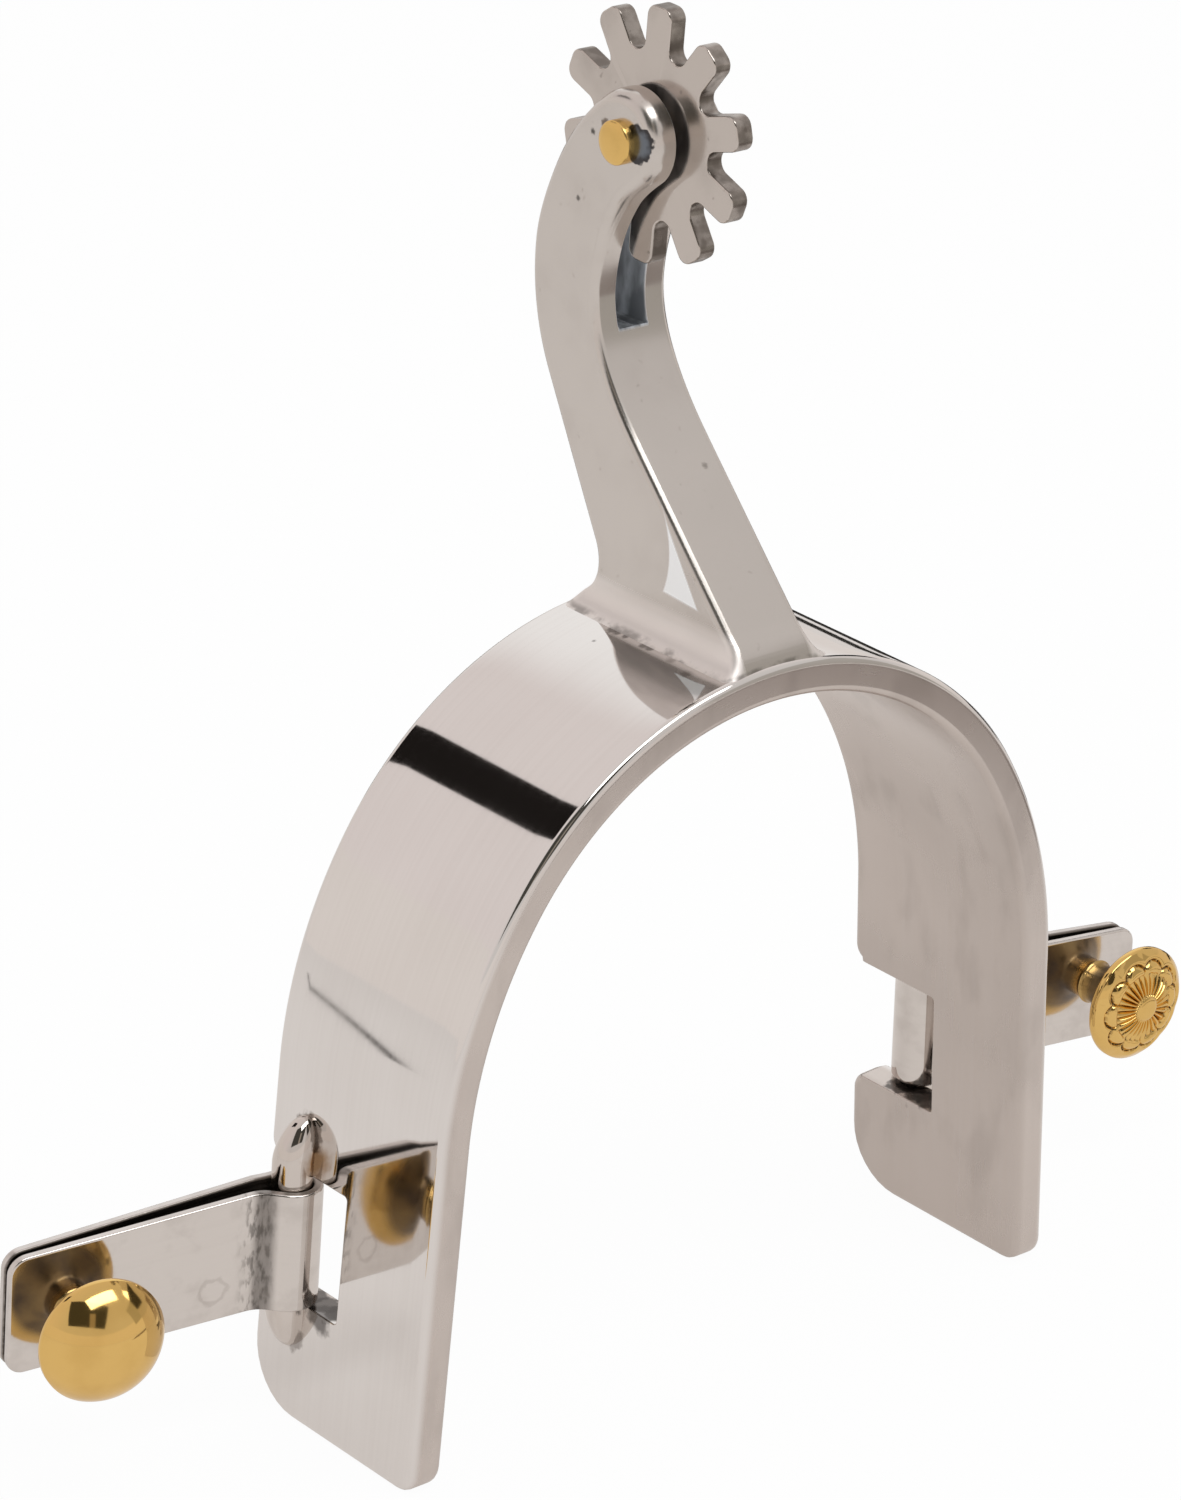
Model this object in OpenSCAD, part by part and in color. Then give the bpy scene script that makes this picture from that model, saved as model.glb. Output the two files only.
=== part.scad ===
// Riding spur standing on its arm ends: a heel band, a shank with a free rowel,
// and a swinging button strap on each arm.
// Millimetres. The origin is the centre of the heel curve, X crosses the heel,
// Y runs along the width of the band and Z points to the rowel.

/* [Heel band] */
// Width of the band
band_w = 25.4; // [22:0.1:30]
// Thickness of the band
band_t = 3.7; // [3.2:0.1:4.6]
// Inside radius of the heel curve
heel_r = 34.2; // [30:0.1:38]
// Half of the angle that the heel curve spans
heel_half_deg = 57; // [48:1:64]
// Inside radius of the shoulders below the heel curve
shoulder_r = 45; // [41:0.5:60]
// Outward lean of the arms
arm_splay = 3.7; // [1:0.1:7]
// Height of the heel curve's centre above the arm ends
heel_rise = 38.3; // [35:0.1:50]
// Corner radius of the arm ends on the front edge
front_corner_r = 2.4; // [1.5:0.1:5]
// Corner radius of the arm ends on the back edge
back_corner_r = 6.5; // [3:0.1:7.5]

/* [Strap hinges] */
// Diameter of the hinge posts
post_d = 4; // [3.8:0.1:4.2]
// Distance of the post's axis outside the face of the arm
post_proud = 1.2; // [1:0.1:1.3]
// Distance of the post's axis behind the middle of the band
post_back = 7.1; // [6.5:0.1:7.5]
// Outward lean of the posts from the line of the arm
post_lean = 2; // [0:0.1:2.5]
// Length of the post's tapered ends
post_tip = 4.5; // [3:0.1:5]
// Height of the post's middle above the hinge's middle
post_lift = 0.7; // [0:0.1:1]
// Height of the hinge's middle above the arm ends
hinge_rise = 19; // [18.5:0.1:22]
// Length of the post past the strap at either end
post_over = 6; // [5.5:0.1:7]
// Running clearance of the strap's barrel on its post
hinge_gap = 0.1; // [0.05:0.01:0.15]
// Clearance of the strap above in its notch
notch_gap_top = 0.7; // [0.4:0.1:1.2]
// Clearance of the strap below in its notch, where its leaf falls away
notch_gap_low = 0.3; // [0.3:0.1:1.5]
// Clearance of the barrel in front in its notch
notch_relief = 3.5; // [2:0.1:4]
// Rounding of the notch's mouth on the back edge
notch_mouth_r = 1.8; // [0.5:0.1:2]

/* [Straps] */
// Thickness of the folded sheet
sheet_t = 1; // [0.8:0.1:1.2]
// Height of the strap
strap_h = 12.5; // [11:0.1:13.5]
// Length of the strap from the post's axis
strap_l = 29.3; // [28:0.1:34]
// Space between the two leaves where they leave the barrel
throat = 2; // [1.4:0.1:2.2]
// Distance of the leaves' middle behind the post's axis where they leave the barrel
leaf_back = 0.9; // [0:0.1:1]
// Space between the two leaves at the free end
end_gap = 0.5; // [0.3:0.1:1]
// Fall of the left strap's leaves below the square of its hinge
left_droop = 6; // [0:0.1:13]
// Fall of the right strap's leaves below the square of its hinge
right_droop = 7.2; // [0:0.1:13]
// Corner radius of the free end
strap_corner_r = 1.8; // [0.8:0.1:3]
// Swing of the left strap from square, towards the back
left_swing = 13; // [-10:1:40]
// Swing of the right strap from square, towards the back
right_swing = -1; // [-10:1:40]

/* [Buttons] */
// Diameter of the buttons
button_d = 12.6; // [11:0.1:14]
// Distance of the left button from the post's axis
left_reach = 22.4; // [21.5:0.1:24]
// Distance of the right button from the post's axis
right_reach = 23.8; // [22:0.1:25]
// Height of the left button above the middle of its strap
left_lift = -1; // [-1.3:0.1:1]
// Height of the right button above the middle of its strap
right_lift = 0.5; // [-1:0.1:1]
// Diameter of the button's neck
neck_d = 4.4; // [4:0.1:5.5]
// Length of the button's neck
neck_l = 3; // [2:0.1:4]
// Height of the flare under the button
flare_h = 2.6; // [2:0.1:3.5]
// Height of the button's rim
rim_h = 0.8; // [0.5:0.1:1.5]
// Height of the plain dome on the left button
dome_h = 4; // [2.5:0.1:4.5]
// Height of the low dome on the right button
face_h = 1.7; // [1.2:0.1:2.2]
// Petals on the right button
petals = 10; // [6:1:12]
// Diameter of the ring of petals
petal_ring_d = 7; // [6:0.1:7.8]
// Diameter of the disc in the middle of the petals
eye_d = 2.8; // [2:0.1:3.4]
// Height of the middle disc above the low dome
eye_lift = 0.2; // [0.1:0.1:0.5]
// Diameter of the stem through the strap
stem_d = 3; // [2.4:0.1:3.4]
// Diameter of the riveted tail
tail_d = 4.8; // [4:0.1:6]
// Height of the riveted tail
tail_h = 1; // [0.6:0.1:1.5]

/* [Shank] */
// Thickness of the shank
shank_t = 9.3; // [8:0.1:11]
// Height of the rowel pin above the band
pin_rise = 46.5; // [44:0.1:52]
// Distance of the rowel pin behind the middle of the band
pin_back = 9.1; // [7:0.1:11]
// Radius of the head around the pin
head_r = 4.9; // [4:0.1:5.5]
// Radius of the back curve of the neck
back_r = 23.1; // [22:0.1:25]
// Angle at which the back curve leaves the head
head_turn = 52.3; // [48:0.1:56]
// Depth of the neck from front to back
neck_depth = 9.3; // [8.5:0.1:10]
// Radius of the front curve of the neck
front_r = 17.4; // [16.5:0.1:18.5]
// Drop of the front curve's centre below the back curve's
front_drop = 1.75; // [1:0.05:2.5]
// Lean of the shank's back edge
back_lean = 28.4; // [26:0.1:31]
// Lean of the shank's front edge
front_lean = 44.5; // [42:0.1:46]
// Reach of the foot in front of the middle of the band
foot_front = 12.6; // [11.8:0.1:12.6]
// Reach of the foot behind the middle of the band
foot_back = 11.9; // [11.5:0.1:12.5]
// Height of the steep toe of the foot
toe_h = 2.9; // [2:0.1:4]
// Fall of the toe towards the front
toe_run = 3; // [2:0.1:3.2]
// Fillet beside the foot
foot_side_r = 3; // [2:0.1:4]
// Fillet behind the foot
foot_back_r = 4.2; // [3:0.1:5]
// Thickness of the foot's thin edge
foot_lip = 0.2; // [0.1:0.05:0.4]
// Width of the rowel slot
slot_w = 3.4; // [2.8:0.1:4]
// Depth of the slot past the rowel's teeth
slot_relief = 7; // [5:0.1:9]

/* [Rowel] */
// Diameter of the rowel over its teeth
rowel_d = 25.2; // [23:0.1:27]
// Diameter of the rowel at the roots of its teeth
root_d = 16.4; // [16:0.1:17.5]
// Thickness of the rowel
rowel_t = 2; // [1.2:0.1:2.2]
// Number of teeth
teeth = 10; // [9:1:11]
// Width of a tooth
tooth_w = 3.4; // [2.8:0.1:3.6]
// Corner radius of the tips
tip_r = 1.2; // [0.6:0.1:1.3]
// Turn of the rowel on its pin
rowel_turn = 20.6; // [0:0.1:36]
// Diameter of the rowel pin
pin_d = 4.3; // [3.8:0.1:4.8]
// Length of the pin past either cheek
pin_over = 1.1; // [0.4:0.1:1.2]
// Rounding of the pin's ends
pin_end_r = 0.5; // [0.2:0.1:0.6]
// Running clearance of the rowel on its pin
rowel_gap = 0.05; // [0.02:0.01:0.09]

/* [Hidden] */
$fn = 64;
steel = [0.78, 0.76, 0.74];
brass = [0.80, 0.63, 0.28];
// Overlap where two forms of one piece join
lap = 1;
// Reach of a cut past a face
past = 2;
// Fine step from the heel curve down to a shoulder, on either face
joint_step = 0.02;
// Short chords along the curve of a shoulder
shoulder_steps = 20;
// Short chords along a round of the rowel or a post's end
arc_steps = 6;

band_half = band_w / 2;
heel_out = heel_r + band_t;
heel_end_deg = 90 - heel_half_deg;
tongue_deg = heel_end_deg + 3;
shoulder_off = heel_r - shoulder_r;
shoulder_c = [shoulder_off * cos(heel_end_deg), shoulder_off * sin(heel_end_deg)];
arm_top = shoulder_c + shoulder_r * [cos(arm_splay), sin(arm_splay)];
// Place of the hinge along an arm, from the arm's top
hinge_z = -(heel_rise + arm_top[1] - hinge_rise) / cos(arm_splay);

post_r = post_d / 2;
post_x = band_t + post_proud;
post_half = strap_h / 2 + post_over;
barrel_in = post_r + hinge_gap;
barrel_out = barrel_in + sheet_t;
notch_top = strap_h / 2 + notch_gap_top;
notch_low = -strap_h / 2 - notch_gap_low;
notch_front = post_back - barrel_out - notch_relief;

// Outer faces of the leaves: front and back at the post's axis, and both at the free end
front_face = throat / 2 + sheet_t - leaf_back;
back_face = throat / 2 + sheet_t + leaf_back;
end_face = end_gap / 2 + sheet_t;
neck_r = neck_d / 2;
button_r = button_d / 2;
stem_r = stem_d / 2;
rim_z = neck_l + flare_h;
crown_z = rim_z + rim_h;

head = [pin_back, heel_out + pin_rise];
back_c = head - (back_r - head_r) * [cos(head_turn), sin(head_turn)];
front_c = [back_c[0] + back_r - neck_depth - front_r, back_c[1] - front_drop];
back_tan = back_c + back_r * [cos(back_lean), -sin(back_lean)];
toe = [-foot_front + toe_run, heel_out + toe_h];
// Where the front edge meets the line that closes the back curve
front_rise = (back_c[0] - toe[0] + (back_c[1] - toe[1]) / tan(back_lean))
    / (sin(front_lean) + cos(front_lean) / tan(back_lean));
front_top = toe + (front_rise + lap) * [sin(front_lean), cos(front_lean)];
fillet_z = heel_out + foot_back_r + foot_lip;
fillet_y = back_tan[0] - tan(back_lean) * (back_tan[1] - fillet_z) + foot_back_r / cos(back_lean);
fillet_tan = [fillet_y, fillet_z] + foot_back_r * [-cos(back_lean), sin(back_lean)];
foot_low = heel_out - past;
side_x = shank_t / 2 + foot_side_r;
side_z = sqrt(pow(heel_out + foot_side_r, 2) - pow(side_x, 2)) + foot_lip;
foot_half = side_x * heel_out / (heel_out + foot_side_r);
slot_z = head[1] - rowel_d / 2 - slot_relief;

rowel_r = rowel_d / 2;
pin_r = pin_d / 2;
pin_half = shank_t / 2 + pin_over;
half_step = 180 / teeth;
// Round that fills the space between two teeth at the root
root_r = (root_d / 2 * sin(half_step) - tooth_w / 2) / (1 - sin(half_step));
root_c = root_d / 2 + root_r;

// Points of a shoulder at a distance outside its inner face, from one angle to another
function shoulder_points(out, from, to) = [
    for (i = [0 : shoulder_steps])
        let (deg = from + (to - from) * i / shoulder_steps)
            shoulder_c + (shoulder_r + out) * [cos(deg), sin(deg)]
];

// Point of an arm end at a distance outside the inner face
function arm_end(out) = [
    arm_top[0] + out / cos(arm_splay) + (arm_top[1] + heel_rise) * tan(arm_splay),
    -heel_rise
];

// Right shoulder and arm in the XZ plane, with a tongue into the heel curve
module side_outline() {
    polygon(concat(
        shoulder_points(band_t - joint_step, heel_end_deg, arm_splay),
        [arm_end(band_t - joint_step), arm_end(joint_step)],
        shoulder_points(joint_step, arm_splay, heel_end_deg),
        [(heel_r + band_t / 2) * [cos(tongue_deg), sin(tongue_deg)]]
    ));
}

// Frame of the right arm: X out of the inner face, Z up the arm
module on_arm() {
    translate([arm_top[0], 0, arm_top[1]])
        rotate([0, -arm_splay, 0])
            children();
}

// Frame of the right hinge: Z along the post
module on_hinge() {
    on_arm()
        translate([post_x, post_back, hinge_z])
            rotate([0, post_lean, 0])
                children();
}

module arm_corner(radius, side) {
    translate([0, side * (band_half - radius), -heel_rise + radius])
        rotate([90, 0, 90])
            linear_extrude(2 * heel_out)
                difference() {
                    translate([side < 0 ? -past - radius : 0, -past - radius])
                        square(radius + past);
                    circle(radius);
                }
}

module notch() {
    mouth_y = band_half - notch_mouth_r;
    translate([-past, notch_front, hinge_z + notch_low])
        cube([band_t + 2 * past, band_w, notch_top - notch_low]);
    translate([-past, mouth_y, hinge_z + notch_top + notch_mouth_r])
        mouth_corner();
    translate([-past, mouth_y, hinge_z + notch_low - notch_mouth_r])
        mirror([0, 0, 1])
            mouth_corner();
}

// Waste outside the rounded upper corner of a notch's mouth
module mouth_corner() {
    rotate([90, 0, 90])
        linear_extrude(band_t + 2 * past)
            difference() {
                translate([0, -notch_mouth_r - lap])
                    square([notch_mouth_r + past, notch_mouth_r + lap]);
                circle(notch_mouth_r);
            }
}

module heel_band() {
    color(steel)
        difference() {
            union() {
                rotate([90, 0, 0])
                    rotate([0, 0, heel_end_deg])
                        rotate_extrude(angle = 2 * heel_half_deg)
                            translate([heel_r, -band_half])
                                square([band_t, band_w]);
                for (side = [0, 1])
                    mirror([side, 0, 0])
                        translate([0, band_half, 0])
                            rotate([90, 0, 0])
                                linear_extrude(band_w)
                                    side_outline();
            }
            for (side = [0, 1])
                mirror([side, 0, 0]) {
                    arm_corner(front_corner_r, -1);
                    arm_corner(back_corner_r, 1);
                    on_arm()
                        notch();
                    on_hinge()
                        post_form();
                }
        }
}

// A round rod with tapered ends
module post_form() {
    straight = post_half - post_tip;
    translate([0, 0, post_lift])
        rotate_extrude()
            polygon([
                for (side = [-1, 1])
                    for (i = [0 : arc_steps])
                        let (deg = 90 * (i / arc_steps + (side - 1) / 2))
                            [post_r * cos(deg), side * straight + post_tip * sin(deg)]
            ]);
}

module left_post() {
    color(steel)
        mirror([1, 0, 0])
            on_hinge()
                post_form();
}

module right_post() {
    color(steel)
        on_hinge()
            post_form();
}

// Height of a strap's middle at a distance from the post's axis
function leaf_z(reach, droop) = -(reach - barrel_out) * tan(droop);

// Outer face of a leaf at a distance from the post's axis
function leaf_y(face, reach) = face + (end_face - face) * reach / strap_l;

// Plan of the folded sheet: a barrel around the post and two leaves
module strap_plan() {
    difference() {
        union() {
            circle(barrel_out);
            polygon([
                [0, -front_face],
                [strap_l, -end_face],
                [strap_l, end_face],
                [0, back_face]
            ]);
        }
        circle(barrel_in);
        polygon([
            [0, sheet_t - front_face],
            [strap_l + lap, -end_gap / 2],
            [strap_l + lap, end_gap / 2],
            [0, back_face - sheet_t]
        ]);
    }
}

// Side view of the strap: square at the barrel, then falling to a rounded end
module strap_side(droop) {
    corner_x = strap_l - strap_corner_r;
    corner_fall = (corner_x - barrel_out) * tan(droop);
    half = strap_h / 2;
    translate([-barrel_out - past, -half])
        square([2 * barrel_out + past, strap_h]);
    polygon([
        [0, -half],
        [barrel_out, -half],
        [corner_x, -half - corner_fall],
        [corner_x, half - corner_fall],
        [barrel_out, half],
        [0, half]
    ]);
    translate([corner_x - lap, -half - corner_fall + strap_corner_r])
        square([strap_corner_r + lap, strap_h - 2 * strap_corner_r]);
    for (side = [-1, 1])
        translate([corner_x, side * (half - strap_corner_r) - corner_fall])
            circle(strap_corner_r);
}

// A folded strap, drilled for its button
module strap_form(droop, reach, lift) {
    fall = -leaf_z(strap_l, droop);
    difference() {
        intersection() {
            translate([0, 0, -strap_h / 2 - fall - past])
                linear_extrude(strap_h + fall + 2 * past)
                    strap_plan();
            translate([0, barrel_out + past, 0])
                rotate([90, 0, 0])
                    linear_extrude(2 * (barrel_out + past))
                        strap_side(droop);
        }
        translate([reach, barrel_out, leaf_z(reach, droop) + lift])
            rotate([90, 0, 0])
                cylinder(h = 2 * barrel_out, r = stem_r);
    }
}

module left_strap() {
    color(steel)
        mirror([1, 0, 0])
            on_hinge()
                rotate([0, 0, left_swing])
                    strap_form(left_droop, left_reach, left_lift);
}

module right_strap() {
    color(steel)
        on_hinge()
            rotate([0, 0, right_swing])
                strap_form(right_droop, right_reach, right_lift);
}

// Frame of a button: Z out of the front leaf, origin on its face
module on_strap(droop, reach, lift) {
    translate([reach, -leaf_y(front_face, reach), leaf_z(reach, droop) + lift])
        rotate([90, 0, 0])
            children();
}

// Stem, riveted tail, neck, flare and rim
module button_base(reach) {
    grip = leaf_y(front_face, reach) + leaf_y(back_face, reach);
    translate([0, 0, -grip - tail_h])
        cylinder(h = tail_h, r = tail_d / 2);
    translate([0, 0, -grip - tail_h / 2])
        cylinder(h = grip + tail_h / 2 + neck_l, r = stem_r);
    cylinder(h = neck_l, r = neck_r);
    translate([0, 0, neck_l])
        cylinder(h = flare_h, r1 = neck_r, r2 = button_r);
    translate([0, 0, rim_z])
        cylinder(h = rim_h, r = button_r);
}

// Cap of a ball over the rim
module cap(height) {
    ball_r = (pow(button_r, 2) + pow(height, 2)) / (2 * height);
    translate([0, 0, crown_z])
        intersection() {
            translate([0, 0, height - ball_r])
                sphere(ball_r);
            translate([0, 0, -lap / 2])
                cylinder(h = height + lap, r = button_r);
        }
}

module left_button() {
    color(brass)
        mirror([1, 0, 0])
            on_hinge()
                rotate([0, 0, left_swing])
                    on_strap(left_droop, left_reach, left_lift) {
                        button_base(left_reach);
                        cap(dome_h);
                    }
}

module right_button() {
    petal_r = petal_ring_d / 2 * sin(180 / petals);
    color(brass)
        on_hinge()
            rotate([0, 0, right_swing])
                on_strap(right_droop, right_reach, right_lift) {
                    button_base(right_reach);
                    cap(face_h);
                    translate([0, 0, crown_z])
                        cylinder(h = face_h + eye_lift, r = eye_d / 2);
                    for (i = [0 : petals - 1])
                        rotate([0, 0, i * 360 / petals])
                            translate([petal_ring_d / 2, 0, crown_z])
                                sphere(petal_r + face_h / 2);
                }
}

// Side view of the shank, with Y across and Z up
module shank_outline() {
    translate(head)
        circle(head_r);
    intersection() {
        difference() {
            translate(back_c)
                circle(back_r);
            translate(front_c)
                circle(front_r);
        }
        polygon([
            back_c,
            back_c + 2 * back_r * [cos(back_lean), -sin(back_lean)],
            back_c + 2 * back_r * [cos(head_turn), sin(head_turn)]
        ]);
    }
    difference() {
        polygon([
            back_tan,
            fillet_tan,
            [foot_back, fillet_tan[1]],
            [foot_back, foot_low],
            [-foot_front, foot_low],
            [-foot_front, heel_out + foot_lip],
            toe,
            front_top
        ]);
        translate([fillet_y, fillet_z])
            circle(foot_back_r);
    }
}

// End view of the foot: it flares to both sides
module foot_section() {
    difference() {
        translate([-foot_half, foot_low])
            square([2 * foot_half, side_z - foot_low]);
        for (side = [-1, 1])
            translate([side * side_x, side_z])
                circle(foot_side_r);
    }
}

module across(width) {
    translate([-width / 2, 0, 0])
        rotate([90, 0, 90])
            linear_extrude(width)
                children();
}

module shank() {
    color(steel)
        difference() {
            union() {
                across(shank_t)
                    shank_outline();
                intersection() {
                    across(2 * foot_half + past)
                        shank_outline();
                    translate([0, band_half, 0])
                        rotate([90, 0, 0])
                            linear_extrude(band_w)
                                foot_section();
                }
            }
            rotate([90, 0, 0])
                cylinder(h = 2 * band_w, r = heel_out, center = true);
            translate([-slot_w / 2, -back_r, slot_z])
                cube([slot_w, 3 * back_r, 2 * back_r]);
            translate([-shank_t, head[0], head[1]])
                rotate([0, 90, 0])
                    cylinder(h = 2 * shank_t, r = pin_r);
        }
}

module rowel_pin() {
    color(brass)
        translate([0, head[0], head[1]])
            rotate([0, 90, 0])
                rotate_extrude() {
                    translate([0, -pin_half])
                        square([pin_r - pin_end_r, 2 * pin_half]);
                    translate([0, -pin_half + pin_end_r])
                        square([pin_r, 2 * (pin_half - pin_end_r)]);
                    for (side = [-1, 1])
                        translate([pin_r - pin_end_r, side * (pin_half - pin_end_r)])
                            circle(pin_end_r);
                }
}

// A point turned about the origin
function turned(at, deg) = [
    at[0] * cos(deg) - at[1] * sin(deg),
    at[0] * sin(deg) + at[1] * cos(deg)
];

// Points along an arc
function arc(middle, radius, from, to) = [
    for (i = [0 : arc_steps])
        let (deg = from + (to - from) * i / arc_steps)
            middle + radius * [cos(deg), sin(deg)]
];

// A tooth along X with its rounded tip, then the round root after it
tip_c = [rowel_r - tip_r, tooth_w / 2 - tip_r];
tooth_points = concat(
    arc([tip_c[0], -tip_c[1]], tip_r, -90, 0),
    arc(tip_c, tip_r, 0, 90),
    [
        for (at = arc([root_c, 0], root_r, -90 - half_step, half_step - 270))
            turned(at, half_step)
    ]
);

module rowel_outline() {
    polygon([
        for (i = [0 : teeth - 1])
            for (at = tooth_points)
                turned(at, rowel_turn + 2 * i * half_step)
    ]);
}

module rowel() {
    color(steel)
        translate([0, head[0], head[1]])
            across(rowel_t)
                difference() {
                    rowel_outline();
                    circle(pin_r + rowel_gap);
                }
}

heel_band();
shank();
rowel_pin();
rowel();
left_post();
right_post();
left_strap();
right_strap();
left_button();
right_button();
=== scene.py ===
"""Riding spur: a bent heel band, a shank with a turning rowel, and two strap hangers with brass buttons.

Sizes are in millimetres and become metres when a mesh is finished. The frame is the CAD frame:
the origin lies on the axis of the heel curve, X runs across the arms, Y to the back, Z up the shank.
"""
import logging
import math
from collections.abc import Callable, Mapping, Sequence
from dataclasses import dataclass
from enum import Enum
from typing import Any, ClassVar

import bmesh
import bpy
from mathutils import Matrix, Vector


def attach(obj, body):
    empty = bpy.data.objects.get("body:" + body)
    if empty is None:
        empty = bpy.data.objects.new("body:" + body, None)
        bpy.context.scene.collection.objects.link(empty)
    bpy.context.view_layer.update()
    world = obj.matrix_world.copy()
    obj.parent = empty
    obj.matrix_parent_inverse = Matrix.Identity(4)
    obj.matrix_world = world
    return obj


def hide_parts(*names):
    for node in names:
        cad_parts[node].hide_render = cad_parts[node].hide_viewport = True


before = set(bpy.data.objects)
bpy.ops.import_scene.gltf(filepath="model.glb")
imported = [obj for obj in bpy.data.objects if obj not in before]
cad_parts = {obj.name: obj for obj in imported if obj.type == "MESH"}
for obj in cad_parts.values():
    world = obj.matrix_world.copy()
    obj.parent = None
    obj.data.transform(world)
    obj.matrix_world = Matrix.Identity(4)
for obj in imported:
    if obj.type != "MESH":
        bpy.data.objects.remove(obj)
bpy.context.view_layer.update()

LOG = logging.getLogger("spur")
MM = 0.001
WELD = 0.0005
SECTOR_WELD = 0.002
TINY = 1e-6
CUT_WITHIN = 1e-5
SHARP_RIM_DEG = 55.0
SHARPEST_INSET = 0.35
SKY_FAR = 900.0
IMAGE_HEIGHT = 1500

Point = tuple[float, float]
Place = tuple[float, float, float]
Color = tuple[float, float, float]
Mesh = bmesh.types.BMesh
Object = bpy.types.Object
Socket = bpy.types.NodeSocket


class Side(Enum):
    """The two arms of the heel band."""

    LEFT = -1
    RIGHT = 1

    @property
    def word(self) -> str:
        """The side as the start of a name."""
        return self.name.lower()


class ButtonFace(Enum):
    """The two button faces on this spur."""

    DOME = "dome"
    FLOWER = "flower"


# Node trees


class NodeTree:
    """A node tree, with one way to add a node."""

    def __init__(self, tree: bpy.types.NodeTree) -> None:
        """Empties a tree."""
        self.tree = tree
        tree.nodes.clear()

    def add(
        self, kind: str, sockets: Mapping[Any, Any] | None = None, **settings: Any
    ) -> bpy.types.Node:
        """Adds a node.

        Args:
            kind: Type of the node.
            sockets: Values or links of the inputs, by name or place.
            settings: Properties, which are set first.

        Returns:
            The new node.
        """
        node = self.tree.nodes.new(kind)
        for name, setting in settings.items():
            setattr(node, name, setting)
        for key, given in (sockets or {}).items():
            source = given.socket if isinstance(given, Value) else given
            if isinstance(source, Socket):
                self.tree.links.new(source, node.inputs[key])
            else:
                node.inputs[key].default_value = source
        return node


def math_method(operation: str, swapped: bool = False) -> Callable[..., "Value"]:
    """A method that adds one Math node to the tree of a value.

    Args:
        operation: What the node works out.
        swapped: Whether the value comes second.

    Returns:
        The method.
    """

    def method(self: "Value", other: Any = 0.0) -> "Value":
        """Adds the node."""
        first, second = (other, self) if swapped else (self, other)
        return self.tree.value("ShaderNodeMath", {0: first, 1: second}, operation=operation)

    return method


class Value:
    """One number that a shader works out, written with plain operators."""

    __add__ = __radd__ = math_method("ADD")
    __sub__ = math_method("SUBTRACT")
    __rsub__ = math_method("SUBTRACT", swapped=True)
    __mul__ = __rmul__ = math_method("MULTIPLY")
    __pow__ = math_method("POWER")
    most = math_method("MAXIMUM")
    size = math_method("ABSOLUTE")

    def __init__(self, tree: "ShaderTree", socket: Socket) -> None:
        """Wraps an output socket."""
        self.tree = tree
        self.socket = socket

    def between(self, low: float, high: float) -> "Value":
        """A smooth step from 0 at low to 1 at high.

        Args:
            low: Number that gives 0.
            high: Number that gives 1, which may be the lower of the two.

        Returns:
            The step, held to 0 and 1 outside the range.
        """
        ends = {3: 1.0, 4: 0.0} if low > high else {3: 0.0, 4: 1.0}
        sockets = {0: self, 1: min(low, high), 2: max(low, high), **ends}
        return self.tree.value("ShaderNodeMapRange", sockets, interpolation_type="SMOOTHSTEP")


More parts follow.
